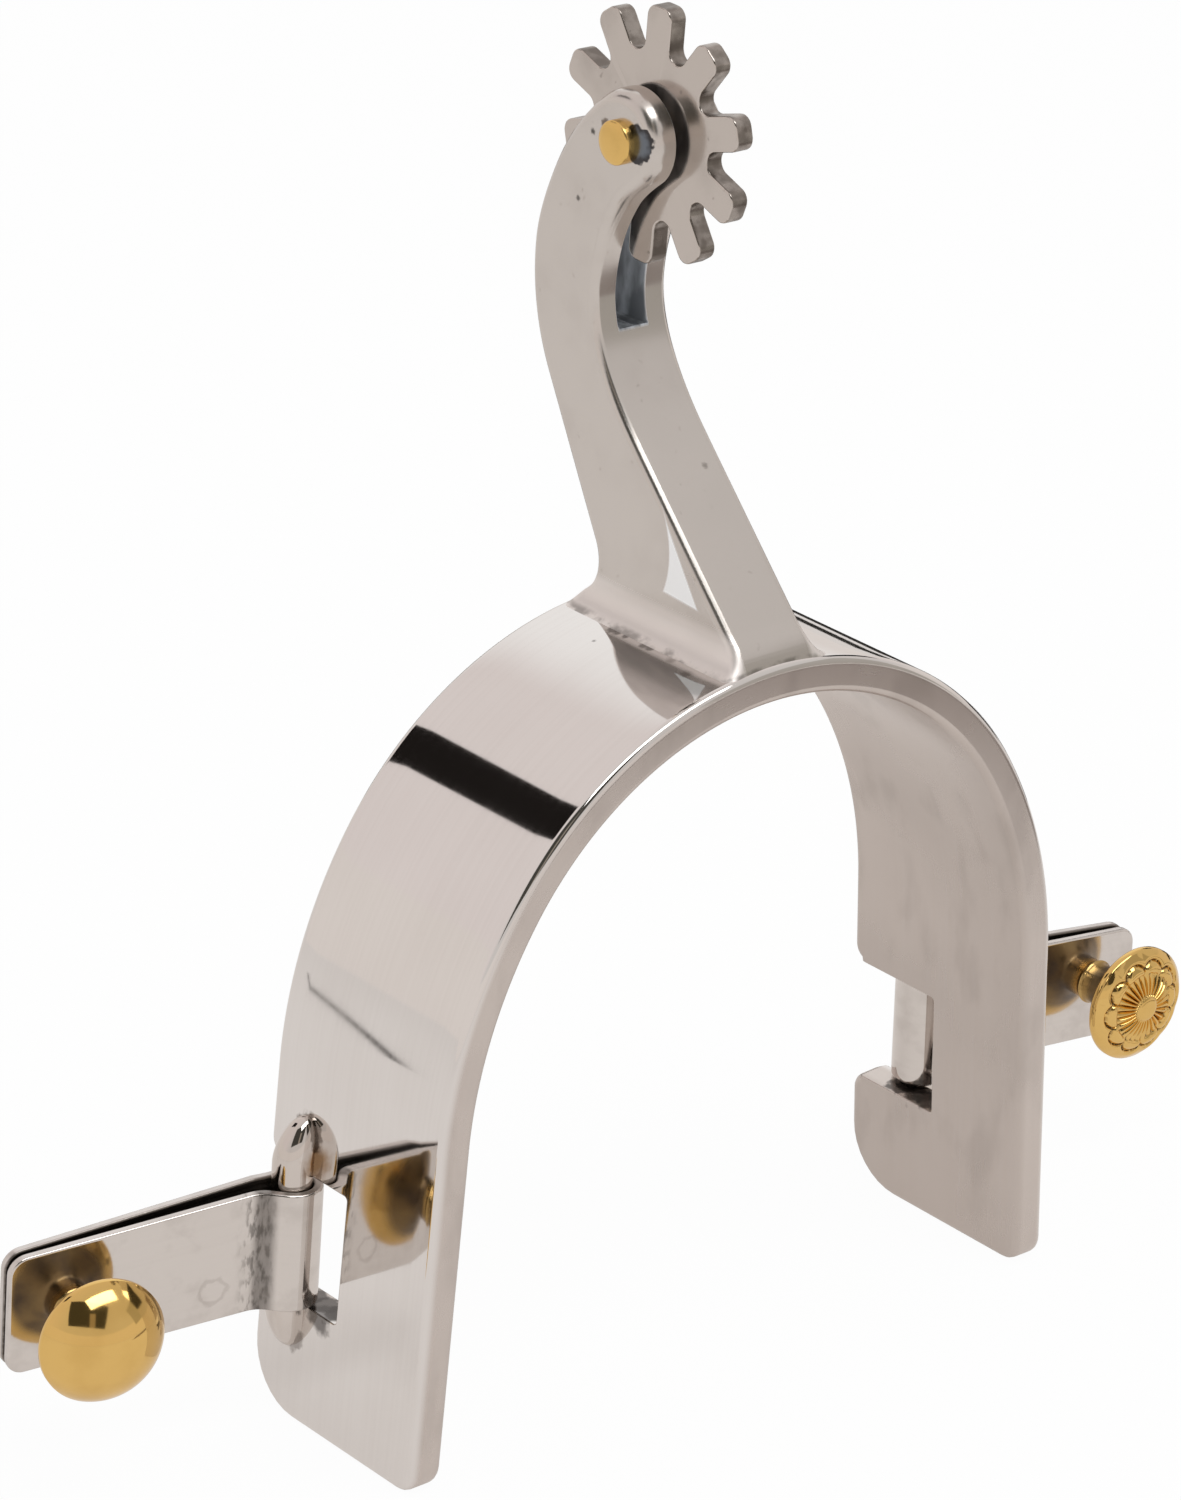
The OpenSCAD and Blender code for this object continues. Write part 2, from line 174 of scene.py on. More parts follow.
class ShaderTree(NodeTree):
    """The node tree of a material or a world."""

    def __init__(self, owner: bpy.types.ID) -> None:
        """Empties the tree of its owner."""
        owner.use_nodes = True
        super().__init__(owner.node_tree)

    def value(
        self, kind: str, sockets: Mapping[Any, Any] | None = None, out: Any = 0, **settings: Any
    ) -> Value:
        """One output of a new node, by its name or place."""
        return Value(self, self.add(kind, sockets, **settings).outputs[out])

    def place(self) -> Socket:
        """Object coordinates, in metres."""
        return self.add("ShaderNodeTexCoord").outputs["Object"]

    def run(self) -> Socket:
        """The flat coordinates of a bent bar or sheet, in millimetres."""
        return self.add("ShaderNodeAttribute", attribute_name="run").outputs["Vector"]

    def standing_out(self) -> Value:
        """More than 0.5 on edges, less in hollows."""
        return self.value("ShaderNodeNewGeometry", out="Pointiness")

    def ray(self, kind: str) -> Value:
        """1 for rays of a kind, such as Camera or Glossy."""
        return self.value("ShaderNodeLightPath", out=f"Is {kind} Ray")

    def split(self, vector: Socket) -> list[Value]:
        """The three parts of a vector."""
        return [Value(self, part) for part in self.add("ShaderNodeSeparateXYZ", {0: vector}).outputs]

    def stretched(self, vector: Socket, by: Place) -> Socket:
        """A vector scaled along each axis."""
        return self.add("ShaderNodeVectorMath", {0: vector, 1: by}, operation="MULTIPLY").outputs[0]

    def noise(self, vector: Socket, scale: float, detail: float = 3.0) -> Value:
        """Smooth noise from 0 to 1."""
        return self.value("ShaderNodeTexNoise", {"Vector": vector, "Scale": scale, "Detail": detail}, "Fac")

    def near(self, at: Place, reach: float, core: float) -> Value:
        """How near a point lies to a place on the piece, with a ragged border.

        Args:
            at: The place, in millimetres.
            reach: Distance at which the mask ends.
            core: Distance up to which the mask is whole.

        Returns:
            1 at the place, 0 beyond its reach.
        """
        place = self.place()
        sockets = {0: place, 1: tuple(c * MM for c in at)}
        far = self.value("ShaderNodeVectorMath", sockets, "Value", operation="DISTANCE")
        ragged = (self.noise(place, 2.0 / (reach * MM), 4.0) - 0.5) * (0.8 * reach * MM)
        return (far + ragged).between(reach * MM, core * MM)

    def wedge(self, corners: Sequence[Point], bite: Point, radius: float, soft: float) -> Value:
        """A flat patch on a side face, with a round bite out of it.

        Args:
            corners: Its corners counter-clockwise, with Y across and Z up, in millimetres.
            bite: Middle of the bite.
            radius: Radius of the bite.
            soft: Width of its soft border.

        Returns:
            1 inside, 0 outside.
        """
        _, y, z = self.split(self.place())
        across = (y - bite[0] * MM) ** 2.0 + (z - bite[1] * MM) ** 2.0
        outside = radius * MM - across ** 0.5
        for (y0, z0), (y1, z1) in zip(corners, [*corners[1:], corners[0]]):
            length = math.hypot(y1 - y0, z1 - z0)
            far = (y - y0 * MM) * ((z0 - z1) / length) + (z - z0 * MM) * ((y1 - y0) / length)
            outside = outside.most(far)
        return outside.between(soft * MM, -soft * MM)

    def mix(self, amount: Any, first: Any, second: Any) -> Socket:
        """A colour between two others."""
        tints = [c if isinstance(c, Socket) else (*c, 1.0) for c in (first, second)]
        return self.add("ShaderNodeMix", {0: amount, 6: tints[0], 7: tints[1]}, data_type="RGBA").outputs[2]

    def bump(self, height: Value, depth: float) -> Socket:
        """A normal from a height, of which 1 measures the depth in millimetres."""
        sockets = {"Strength": 1.0, "Distance": depth * MM, "Height": height}
        return self.add("ShaderNodeBump", sockets).outputs["Normal"]

    def close(self, shader: bpy.types.Node, kind: str = "Material") -> None:
        """Ends the tree with a shader."""
        self.add(f"ShaderNodeOutput{kind}", {"Surface": shader.outputs[0]})

    def metal(self, color: Any, roughness: Any, normal: Socket, bare: Any = 1.0) -> None:
        """Ends the tree with metal, which is bare at 1 and covered below 1 by scale and dirt, and by a
        painted reflection.
        """
        sockets = {"Base Color": color, "Metallic": bare, "Roughness": roughness, "Normal": normal}
        self.close(self.add("ShaderNodeBsdfPrincipled", sockets))


# Finishes


@dataclass(frozen=True)
class Spot:
    """A stain or pit around one place on a piece."""

    at: Place
    reach: float
    core: float
    color: Color
    amount: float


@dataclass(frozen=True)
class Finish:
    """A bare metal finish. Subclasses say how it varies and carry the name of a slot."""

    slot: ClassVar[str]
    name: str
    color: Color
    shade: Color
    roughness: float
    spots: tuple[Spot, ...] = ()

    def material(self) -> bpy.types.Material:
        """The material of this finish, made once.

        Returns:
            The material.
        """
        known = bpy.data.materials.get(self.name)
        if known:
            return known
        material = bpy.data.materials.new(self.name)
        self.shape(ShaderTree(material))
        return material

    def shape(self, tree: ShaderTree) -> None:
        """Fills the shader tree."""
        raise NotImplementedError

    def stained(self, tree: ShaderTree, color: Socket) -> Socket:
        """Lays the spots of the finish over a colour.

        Args:
            tree: The tree of the finish.
            color: Colour so far.

        Returns:
            The stained colour.
        """
        for spot in self.spots:
            color = tree.mix(tree.near(spot.at, spot.reach, spot.core) * spot.amount, color, spot.color)
        return color


@dataclass(frozen=True)
class Polished(Finish):
    """Sheet or bar with a buffed outer face, and plainer edges and inner face."""

    slot = "polished_steel"
    thickness: float = 1.0
    edge_color: Color = (0.60, 0.54, 0.50)
    inside_color: Color = (0.60, 0.54, 0.50)
    plain_roughness: float = 0.24
    streak_depth: float = 0.00006
    roll_off: float = 0.0
    roll_off_from: float = 9.5
    smudge_color: Color = (0.22, 0.19, 0.165)
    worn_and_highlit_edge_color: Color = (0.88, 0.84, 0.81)

    def shape(self, tree: ShaderTree) -> None:
        """A mirror with faint buffing streaks outside, ground metal on the edges and inside, lighter on
        standing edges as wear with a painted highlight; on the strap sheet the inner face is near-black
        painted shade.

        Args:
            tree: The empty tree of the finish.
        """
        run, place = tree.run(), tree.place()
        _, across, out = tree.split(run)
        plain = 1.0 - out.between(0.72 * self.thickness, 0.96 * self.thickness)
        inner = out.between(0.28 * self.thickness, 0.04 * self.thickness)
        streak = tree.noise(tree.stretched(run, (0.02, 2.2, 2.2)), 1.0, 4.0)
        fine = tree.noise(tree.stretched(run, (0.06, 9.0, 9.0)), 1.0, 2.0)
        haze = tree.noise(place, 60.0, 3.0).between(0.35, 0.75)
        fleck = tree.noise(place, 1500.0, 1.0).between(0.72, 0.80)
        smudge = tree.noise(tree.stretched(place, (1.0, 1.0, 0.45)), 190.0, 5.0).between(0.5, 0.72)
        worn = streak.between(0.35, 0.75)
        edge = tree.standing_out().between(0.53, 0.62)
        # The inner face takes its own colour; on the strap sheet it is near-black painted shade between the
        # leaves.
        ground = tree.mix(inner, self.edge_color, self.inside_color)
        ground = tree.mix(worn * 0.3 + fleck * 0.25, ground, self.shade)
        ground = tree.mix(haze * 0.10 + smudge * 0.16, ground, self.smudge_color)
        # Standing edges turn lighter: partly worn metal, partly a painted highlight.
        ground = tree.mix(edge * 0.55, ground, self.worn_and_highlit_edge_color)
        color = tree.mix(worn * 0.08 + haze * 0.14, self.color, self.shade)
        color = tree.mix(plain, color, ground)
        rough = self.roughness + worn * 0.015 + haze * 0.02 + plain * (self.plain_roughness + haze * 0.05)
        height = (streak * 0.7 + fine * 0.3) * (1.0 + plain * 6.0) - fleck * plain * 3.0
        if self.roll_off:
            past = (across.size() - self.roll_off_from).most(0.0)
            height = height - past ** 2.0 * (self.roll_off / self.streak_depth)
        tree.metal(self.stained(tree, color), rough, tree.bump(height, self.streak_depth))


@dataclass(frozen=True)
class Hanger(Polished):
    """Strap sheet, scuffed where it leaves the barrel and stained near the button."""

    scuff: Point = (24.6, 27.4)
    scuff_color: Color = (0.13, 0.115, 0.105)
    grit_color: Color = (0.10, 0.09, 0.08)
    ring: Point = (21.0, -3.0)
    ring_radius: float = 1.35
    ring_color: Color = (0.30, 0.26, 0.23)

    def stained(self, tree: ShaderTree, color: Socket) -> Socket:
        """Scuffs in the crease and one faint ring.

        Args:
            tree: The tree of the finish.
            color: Colour so far.

        Returns:
            The stained colour.
        """
        run = tree.run()
        along, up, _ = tree.split(run)
        first, last = self.scuff
        crease = along.between(first, first + 1.1) * along.between(last + 0.5, last - 0.7)
        worn = along.between(first - 1.6, first + 0.6) * along.between(last + 0.4, last - 1.2)
        grit = tree.noise(tree.stretched(run, (1.7, 0.6, 1.0)), 1.0, 8.0)
        color = tree.mix(crease * (0.5 + grit * 0.5), color, self.scuff_color)
        color = tree.mix(worn * grit.between(0.46, 0.64) * 0.7, color, self.grit_color)
        far = ((along - self.ring[0]) ** 2.0 + (up - self.ring[1]) ** 2.0) ** 0.5
        far = far + (tree.noise(run, 0.8, 3.0) - 0.5) * 1.6
        line = (far - self.ring_radius).size().between(0.3, 0.05)
        cloud = tree.noise(run, 0.35, 4.0).between(0.45, 0.7)
        color = tree.mix(line * 0.22 + cloud * 0.16, color, self.ring_color)
        return super().stained(tree, color)


@dataclass(frozen=True)
class Satin(Finish):
    """Ground steel with a soft grain, faint scratches and small pitting."""

    slot = "satin_steel"
    grain_depth: float = 0.0012
    side_wear: float = 0.0

    def shape(self, tree: ShaderTree) -> None:
        """Fine grain, cloudy tone, scattered pitting, rougher cut edges, and standing edges painted lighter
        as a highlight.

        Args:
            tree: The empty tree of the finish.
        """
        place = tree.place()
        cloud = tree.noise(place, 130.0, 4.0).between(0.35, 0.75)
        grain = tree.noise(tree.stretched(place, (1.0, 1.0, 0.35)), 2600.0, 2.0)
        pit = tree.noise(place, 900.0, 1.0).between(0.71, 0.78)
        blotch = tree.noise(place, 700.0, 4.0).between(0.3, 0.7)
        facing = tree.split(tree.add("ShaderNodeTexCoord").outputs["Normal"])[0].size()
        cut = facing.between(0.75, 0.25) * self.side_wear * (0.55 + blotch * 0.5)
        # Standing edges are painted lighter as a highlight, and made smoother.
        edge = tree.standing_out().between(0.52, 0.62)
        tone = (cloud * 0.35 + pit * 0.3 + cut * 0.8 - edge * 0.4).between(0.0, 1.0)
        color = self.stained(tree, tree.mix(tone, self.color, self.shade))
        rough = self.roughness + cloud * 0.08 + cut * 0.22 - edge * 0.12
        color, rough, bare = self.worked_and_painted_light(tree, color, rough)
        height = grain * (0.6 + cut * 2.0) - pit * 1.2
        tree.metal(color, rough, tree.bump(height, self.grain_depth), bare)

    def worked_and_painted_light(self, tree: ShaderTree, color: Socket, rough: Value) -> tuple[Socket, Value, Any]:
        """Colour, roughness and bareness after tools were used on the piece, with any light painted on it."""
        return color, rough, 1.0


@dataclass(frozen=True)
class Sawn(Satin):
    """Satin steel with a sawn slot, a ground foot painted lighter as a highlight, and one painted reflection
    on its left face.
    """

    half: float = 4.65
    slot_half: float = 1.7
    slot_bottom: float = 64.8
    slot_tones: tuple[Color, Color] = ((0.16, 0.175, 0.195), (0.66, 0.70, 0.75))
    foot_top: float = 41.4
    foot_highlight_color: Color = (0.92, 0.88, 0.855)
    seam_radius: float = 37.9
    seam_color: Color = (0.10, 0.09, 0.08)
    # Corners, bite and colour of a painted reflection on the left face.
    flat: tuple[Point, ...] = ((1.5, 51.9), (-0.3, 42.4), (-5.3, 42.1))
    flat_bite: Point = (8.1, 45.7)
    flat_bite_radius: float = 9.05
    reflection_color: Color = (1.0, 1.0, 1.0)

    def worked_and_painted_light(self, tree: ShaderTree, color: Socket, rough: Value) -> tuple[Socket, Value, Any]:
        """Scale in the slot, a softly ground foot with a painted highlight and a dirty seam, and a painted
        reflection above it.

        Args:
            tree: The tree of the finish.
            color: Colour so far.
            rough: Roughness so far.

        Returns:
            Colour, roughness, and 1 where the metal is bare.
        """
        place = tree.place()
        x, _, z = tree.split(place)
        sawn = x.size().between((self.slot_half + 0.25) * MM, (self.slot_half + 0.05) * MM)
        sawn = sawn * z.between((self.slot_bottom - 0.4) * MM, self.slot_bottom * MM)
        burn = tree.noise(tree.stretched(place, (1.0, 0.5, 0.2)), 700.0, 4.0).between(0.36, 0.66)
        color = tree.mix(sawn * 0.94, color, tree.mix(burn, *self.slot_tones))
        # The ground foot is rougher and is also painted lighter: a painted highlight.
        foot = z.between(self.foot_top * MM, (self.foot_top - 1.3) * MM)
        foot = foot * x.size().between((self.half - 0.8) * MM, (self.half - 0.2) * MM)
        color = tree.mix(foot * 0.7, color, self.foot_highlight_color)
        far = (x * x + z * z) ** 0.5
        seam = far.between((self.seam_radius + 0.42) * MM, (self.seam_radius + 0.1) * MM)
        seam = seam * tree.noise(place, 420.0, 4.0).between(0.42, 0.58)
        color = tree.mix(seam * 0.5, color, self.seam_color)
        # A white, smoother, less metallic patch on the left face: a painted reflection.
        bright = tree.wedge(self.flat, self.flat_bite, self.flat_bite_radius, 0.13)
        bright = bright * x.between(-(self.half - 0.65) * MM, -(self.half - 0.15) * MM)
        color = tree.mix(bright, color, self.reflection_color)
        rough = (rough + sawn * 0.25 + foot * 0.24) * (1.0 - bright * 0.7)
        return color, rough, 1.0 - sawn * 0.85 - bright * 0.7


@dataclass(frozen=True)
class Brass(Finish):
    """Brass that was polished and has been handled since."""

    slot = "brass"
    patina_and_shade: Color = (0.16, 0.085, 0.03)
    shade_and_patina_below: float = -100.0
    hammered: float = 0.1
    dent_depth: float = 0.004

    def shape(self, tree: ShaderTree) -> None:
        """Tarnish in the hollows and below the rim, small dents and a handled haze.

        Args:
            tree: The empty tree of the finish.
        """
        place = tree.place()
        cloud = tree.noise(place, 260.0, 4.0).between(0.4, 0.75)
        dent = tree.noise(place, 420.0, 2.0)
        # Patina in the hollows, patina with painted shade below the rim, small dents and a handled haze.
        hammer = tree.noise(place, 900.0, 3.0)
        hollow = tree.standing_out().between(0.485, 0.42)
        level = tree.split(tree.run())[2]
        # Under the rim the brass darkens: patina with painted shade.
        below = level.between(self.shade_and_patina_below + 0.3, self.shade_and_patina_below - 0.5)
        below = below * (0.5 + level.between(self.shade_and_patina_below - 4.4, self.shade_and_patina_below - 3.4) * 0.5)
        color = tree.mix(cloud * 0.4, self.color, self.shade)
        color = tree.mix((hollow * 0.8).most(below * (0.75 + cloud * 0.25)), color, self.patina_and_shade)
        rough = self.roughness + cloud * 0.05 + hollow * 0.15 + below * 0.22
        height = dent * 0.8 + hammer * self.hammered
        tree.metal(self.stained(tree, color), rough, tree.bump(height, self.dent_depth))


# Meshes


def finish_mesh(name: str, bm: Mesh, place: Matrix, material: bpy.types.Material) -> Object:
    """Turns a mesh in millimetres into an object in metres at the origin.

    Args:
        name: Name of the piece.
        bm: The mesh, which is freed.
        place: Where the mesh goes in the CAD frame, in millimetres.
        material: Its material.

    Returns:
        The object, smooth, with outward faces.
    """
    bmesh.ops.transform(bm, matrix=place, verts=bm.verts)
    bmesh.ops.remove_doubles(bm, verts=bm.verts, dist=WELD)
    bmesh.ops.recalc_face_normals(bm, faces=bm.faces)
    bmesh.ops.scale(bm, vec=(MM, MM, MM), verts=bm.verts)
    for face in bm.faces:
        face.smooth = True
    mesh = bpy.data.meshes.new(name)
    bm.to_mesh(mesh)
    bm.free()
    mesh.materials.append(material)
    piece = bpy.data.objects.new(name, mesh)
    bpy.context.scene.collection.objects.link(piece)
    return piece


def flat_faces(piece: Object) -> None:
    """Gives large faces the say over the shading of the narrow rounds beside them.

    Args:
        piece: The finished piece.
    """
    mesh = piece.data
    normals = [Vector() for _ in mesh.vertices]
    for polygon in mesh.polygons:
        pull = polygon.normal * (polygon.area / MM ** 2) ** 2
        for vertex in polygon.vertices:
            normals[vertex] += pull
    mesh.normals_split_custom_set_from_vertices([n.normalized() for n in normals])


def sharp_rims(piece: Object) -> None:
    """Keeps sharp rims out of the smooth shading."""
    piece.data.set_sharp_from_angle(angle=math.radians(SHARP_RIM_DEG))


def hand_over(
    name: str,
    bm: Mesh,
    place: Matrix,
    finish: Finish,
    node: str,
    body: str,
    shading: Callable[[Object], None] | None = flat_faces,
) -> Object:
    """Finishes a piece, hides the part of model.glb that it stands for, and sets it on the body that it rides
    on.

    Args:
        name: Name of the piece.
        bm: The mesh, which is freed.
        place: Where the mesh goes in the CAD frame, in millimetres.
        finish: Its finish.
        node: Node of the part that it replaces.
        body: Body that it rides on.
        shading: What is done to its normals, or None for a piece that is smooth all round.

    Returns:
        The piece.
    """
    piece = finish_mesh(name, bm, place, finish.material())
    if shading:
        shading(piece)
    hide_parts(node)
    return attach(piece, body)


def rounded(corners: Sequence[Place], steps: int = 8) -> list[Point]:
    """A closed outline with rounded corners.

    Args:
        corners: X, Y and radius of each corner in order.
        steps: Chords along one round.

    Returns:
        The points of the outline.
    """
    outline: list[Point] = []
    for i, (x, y, radius) in enumerate(corners):
        here = Vector((x, y))
        before = (Vector(corners[i - 1][:2]) - here).normalized()
        after = (Vector(corners[(i + 1) % len(corners)][:2]) - here).normalized()
        half = before.angle(after) / 2.0
        middle = here + (before + after).normalized() * radius / math.sin(half)
        first = here + before * radius / math.tan(half) - middle
        turn = first.angle_signed(here + after * radius / math.tan(half) - middle)
        for k in range(steps + 1):
            spoke = first.copy()
            spoke.rotate(Matrix.Rotation(-turn * k / steps, 2))
            outline.append(tuple(middle + spoke))
    return outline


def inset(outline: Sequence[Point], depths: Sequence[float]) -> list[Point]:
    """An outline drawn in by a depth at each point.

    Args:
        outline: Points in counter-clockwise order.
        depths: How far each point moves in.

    Returns:
        The points of the smaller outline.
    """
    moved: list[Point] = []
    for i, depth in enumerate(depths):
        here = Vector(outline[i])
        first = (here - Vector(outline[i - 1])).normalized()
        second = (Vector(outline[(i + 1) % len(outline)]) - here).normalized()
        inward = Vector((-first.y - second.y, first.x + second.x)).normalized()
        spread = max(SHARPEST_INSET, inward.dot(Vector((-first.y, first.x))))
        moved.append(tuple(here + inward * depth / spread))
    return moved


def eased(outline: Sequence[Point], at: Point, reach: float, passes: int) -> list[Point]:
    """An outline with one corner eased away.

    Args:
        outline: Points in order, close together.
        at: Middle of the corner.
        reach: Radius within which points move.
        passes: How often the points are averaged.

    Returns:
        The eased outline.
    """
    points = [Vector(p) for p in outline]
    count = len(points)
    pull = [max(0.0, 1.0 - (p - Vector(at)).length / reach) for p in points]
    for _ in range(passes):
        middles = [(points[i - 1] + points[(i + 1) % count]) / 2.0 for i in range(count)]
        points = [p.lerp(m, w) for p, m, w in zip(points, middles, pull)]
    return [tuple(p) for p in points]


def quarter_round(steps: int) -> list[Point]:
    """How far a rounded edge lies in from the outline and below the face, in shares of its radius."""
    angles = [math.pi / 2.0 * k / steps for k in range(steps + 1)]
    return [(1.0 - math.sin(a), 1.0 - math.cos(a)) for a in angles]


def skin(bm: Mesh, rings: Sequence[Sequence[bmesh.types.BMVert]], closed: bool) -> None:
    """Joins rings of points with faces.

    Args:
        bm: Mesh that gets the faces.
        rings: Rings of equal length.
        closed: Whether each ring meets its own start.
    """
    for low, high in zip(rings, rings[1:]):
        count = len(low)
        for i in range(count if closed else count - 1):
            j = (i + 1) % count
            corners = list(dict.fromkeys([low[i], low[j], high[j], high[i]]))
            if len(corners) > 2:
                bm.faces.new(corners)


def slice_across(bm: Mesh, at: Place, normal: Place) -> None:
    """Cuts new edges where a plane crosses a mesh."""
    everything = [*bm.verts, *bm.edges, *bm.faces]
    bmesh.ops.bisect_plane(bm, geom=everything, dist=CUT_WITHIN, plane_co=at, plane_no=normal)


def keep_run(bm: Mesh, rule: Callable[[Vector], Sequence[float]] = tuple) -> None:
    """Keeps a coordinate of each point as "run", which the finishes read.

    Args:
        bm: The mesh.
        rule: What is kept of a point, which is its own place where no rule is given.
    """
    run = bm.verts.layers.float_vector.new("run")
    for vert in bm.verts:
        vert[run] = rule(vert.co)


def turn_about(axis: str, degrees: float) -> Matrix:
    """A turn about an axis through the origin."""
    return Matrix.Rotation(math.radians(degrees), 4, axis)


@dataclass
class FlatBar:
    """A bar or sheet cut flat to an outline, with rounded edges, before it is bent."""

    outline: Sequence[Point]
    edges: Sequence[float]
    thickness: float
    steps: int = 4

    def mesh(self, cuts: Sequence[float], bend: Callable[[float, float, float], Vector]) -> Mesh:
        """Builds the bar, slices it and bends it.

        Args:
            cuts: Places along X where it is sliced so that it can bend.
            bend: Where a point of the flat bar goes.

        Returns:
            The bent mesh, which keeps its flat coordinates, with its thickness along Z.
        """
        bm = bmesh.new()
        rings = []
        ladder = quarter_round(self.steps)
        for top in (False, True):
            for back, deep in reversed(ladder) if top else ladder:
                points = inset(self.outline, [e * back for e in self.edges])
                rings.append([
                    bm.verts.new((x, y, self.thickness - e * deep if top else e * deep))
                    for (x, y), e in zip(points, self.edges)
                ])
        skin(bm, rings, True)
        bm.faces.new(list(reversed(rings[0])))
        bm.faces.new(rings[-1])
        for cut in cuts:
            slice_across(bm, (cut, 0.0, 0.0), (1.0, 0.0, 0.0))
        keep_run(bm)
        for vert in bm.verts:
            vert.co = bend(*vert.co)
        return bm


def lathe(top: Sequence[Point], segments: int = 48) -> Mesh:
    """Turns a profile around Z, with the same profile upside down below it.

    Args:
        top: Radius and height of each ring, from the side to the high pole.
        segments: Number of steps around.

    Returns:
        The closed mesh.
    """
    bm = bmesh.new()
    rings = []
    spokes = [math.tau * i / segments for i in range(segments)]
    for radius, height in [*[(r, -z) for r, z in reversed(top)], *top]:
        if radius < TINY:
            rings.append([bm.verts.new((0.0, 0.0, height))] * segments)
            continue
        rings.append([bm.verts.new((radius * math.cos(a), radius * math.sin(a), height)) for a in spokes])
    skin(bm, rings, True)
    keep_run(bm, lambda co: (co.z, math.atan2(co.y, co.x), 1.0))
    return bm


class RingRepeat(NodeTree):
    """Geometry Nodes that repeat one sector around Z and weld the copies into one skin."""

    def __init__(self) -> None:
        """Builds the tree."""
        super().__init__(bpy.data.node_groups.new("ring_repeat", "GeometryNodeTree"))
        ports = self.tree.interface
        kinds = {"Geometry": "Geometry", "Count": "Int", "Weld": "Float", "Material": "Material"}
        self.inputs = {
            name: ports.new_socket(name, in_out="INPUT", socket_type=f"NodeSocket{kind}").identifier
            for name, kind in kinds.items()
        }
        ports.new_socket("Geometry", in_out="OUTPUT", socket_type="NodeSocketGeometry")
        given = self.add("NodeGroupInput").outputs
        whole = self.add("GeometryNodeGeometryToInstance", {0: given["Geometry"]}).outputs[0]
        sockets = {"Geometry": whole, "Amount": given["Count"]}
        copies = self.add("GeometryNodeDuplicateElements", sockets, domain="INSTANCE").outputs
        step = self.add("ShaderNodeMath", {0: math.tau, 1: given["Count"]}, operation="DIVIDE")
        angle = self.add("ShaderNodeMath", {0: step.outputs[0], 1: copies[1]}, operation="MULTIPLY")
        sockets = {"Axis": (0.0, 0.0, 1.0), "Angle": angle.outputs[0]}
        turn = self.add("FunctionNodeAxisAngleToRotation", sockets)
        sockets = {"Instances": copies[0], "Rotation": turn.outputs[0]}
        turned = self.add("GeometryNodeRotateInstances", sockets)
        real = self.add("GeometryNodeRealizeInstances", {"Geometry": turned.outputs[0]})
        sockets = {"Geometry": real.outputs[0], "Distance": given["Weld"]}
        welded = self.add("GeometryNodeMergeByDistance", sockets)
        sockets = {"Geometry": welded.outputs[0], "Material": given["Material"]}
        dressed = self.add("GeometryNodeSetMaterial", sockets)
        self.add("NodeGroupOutput", {"Geometry": dressed.outputs[0]})

    def around(self, name: str, sector: Mesh, count: int, finish: Finish) -> Mesh:
        """Repeats a sector.

        Args:
            name: Name of the piece.
            sector: Sector around Z, in millimetres, which is freed.
            count: Number of sectors.
            finish: Finish of the piece.

        Returns:
            The whole ring, in millimetres.
        """
        piece = finish_mesh(name, sector, Matrix(), finish.material())
        modifier = piece.modifiers.new("ring_repeat", "NODES")
        modifier.node_group = self.tree
        modifier[self.inputs["Count"]] = count
        modifier[self.inputs["Weld"]] = SECTOR_WELD * MM
        modifier[self.inputs["Material"]] = finish.material()
        graph = bpy.context.evaluated_depsgraph_get()
        graph.update()
        solid = bpy.data.meshes.new_from_object(
            piece.evaluated_get(graph), preserve_all_data_layers=True, depsgraph=graph
        )
        piece.modifiers.clear()
        whole = bmesh.new()
        whole.from_mesh(solid)
        bmesh.ops.scale(whole, vec=(1 / MM, 1 / MM, 1 / MM), verts=whole.verts)
        bpy.data.meshes.remove(solid)
        bpy.data.meshes.remove(piece.data)
        return whole


# Pieces


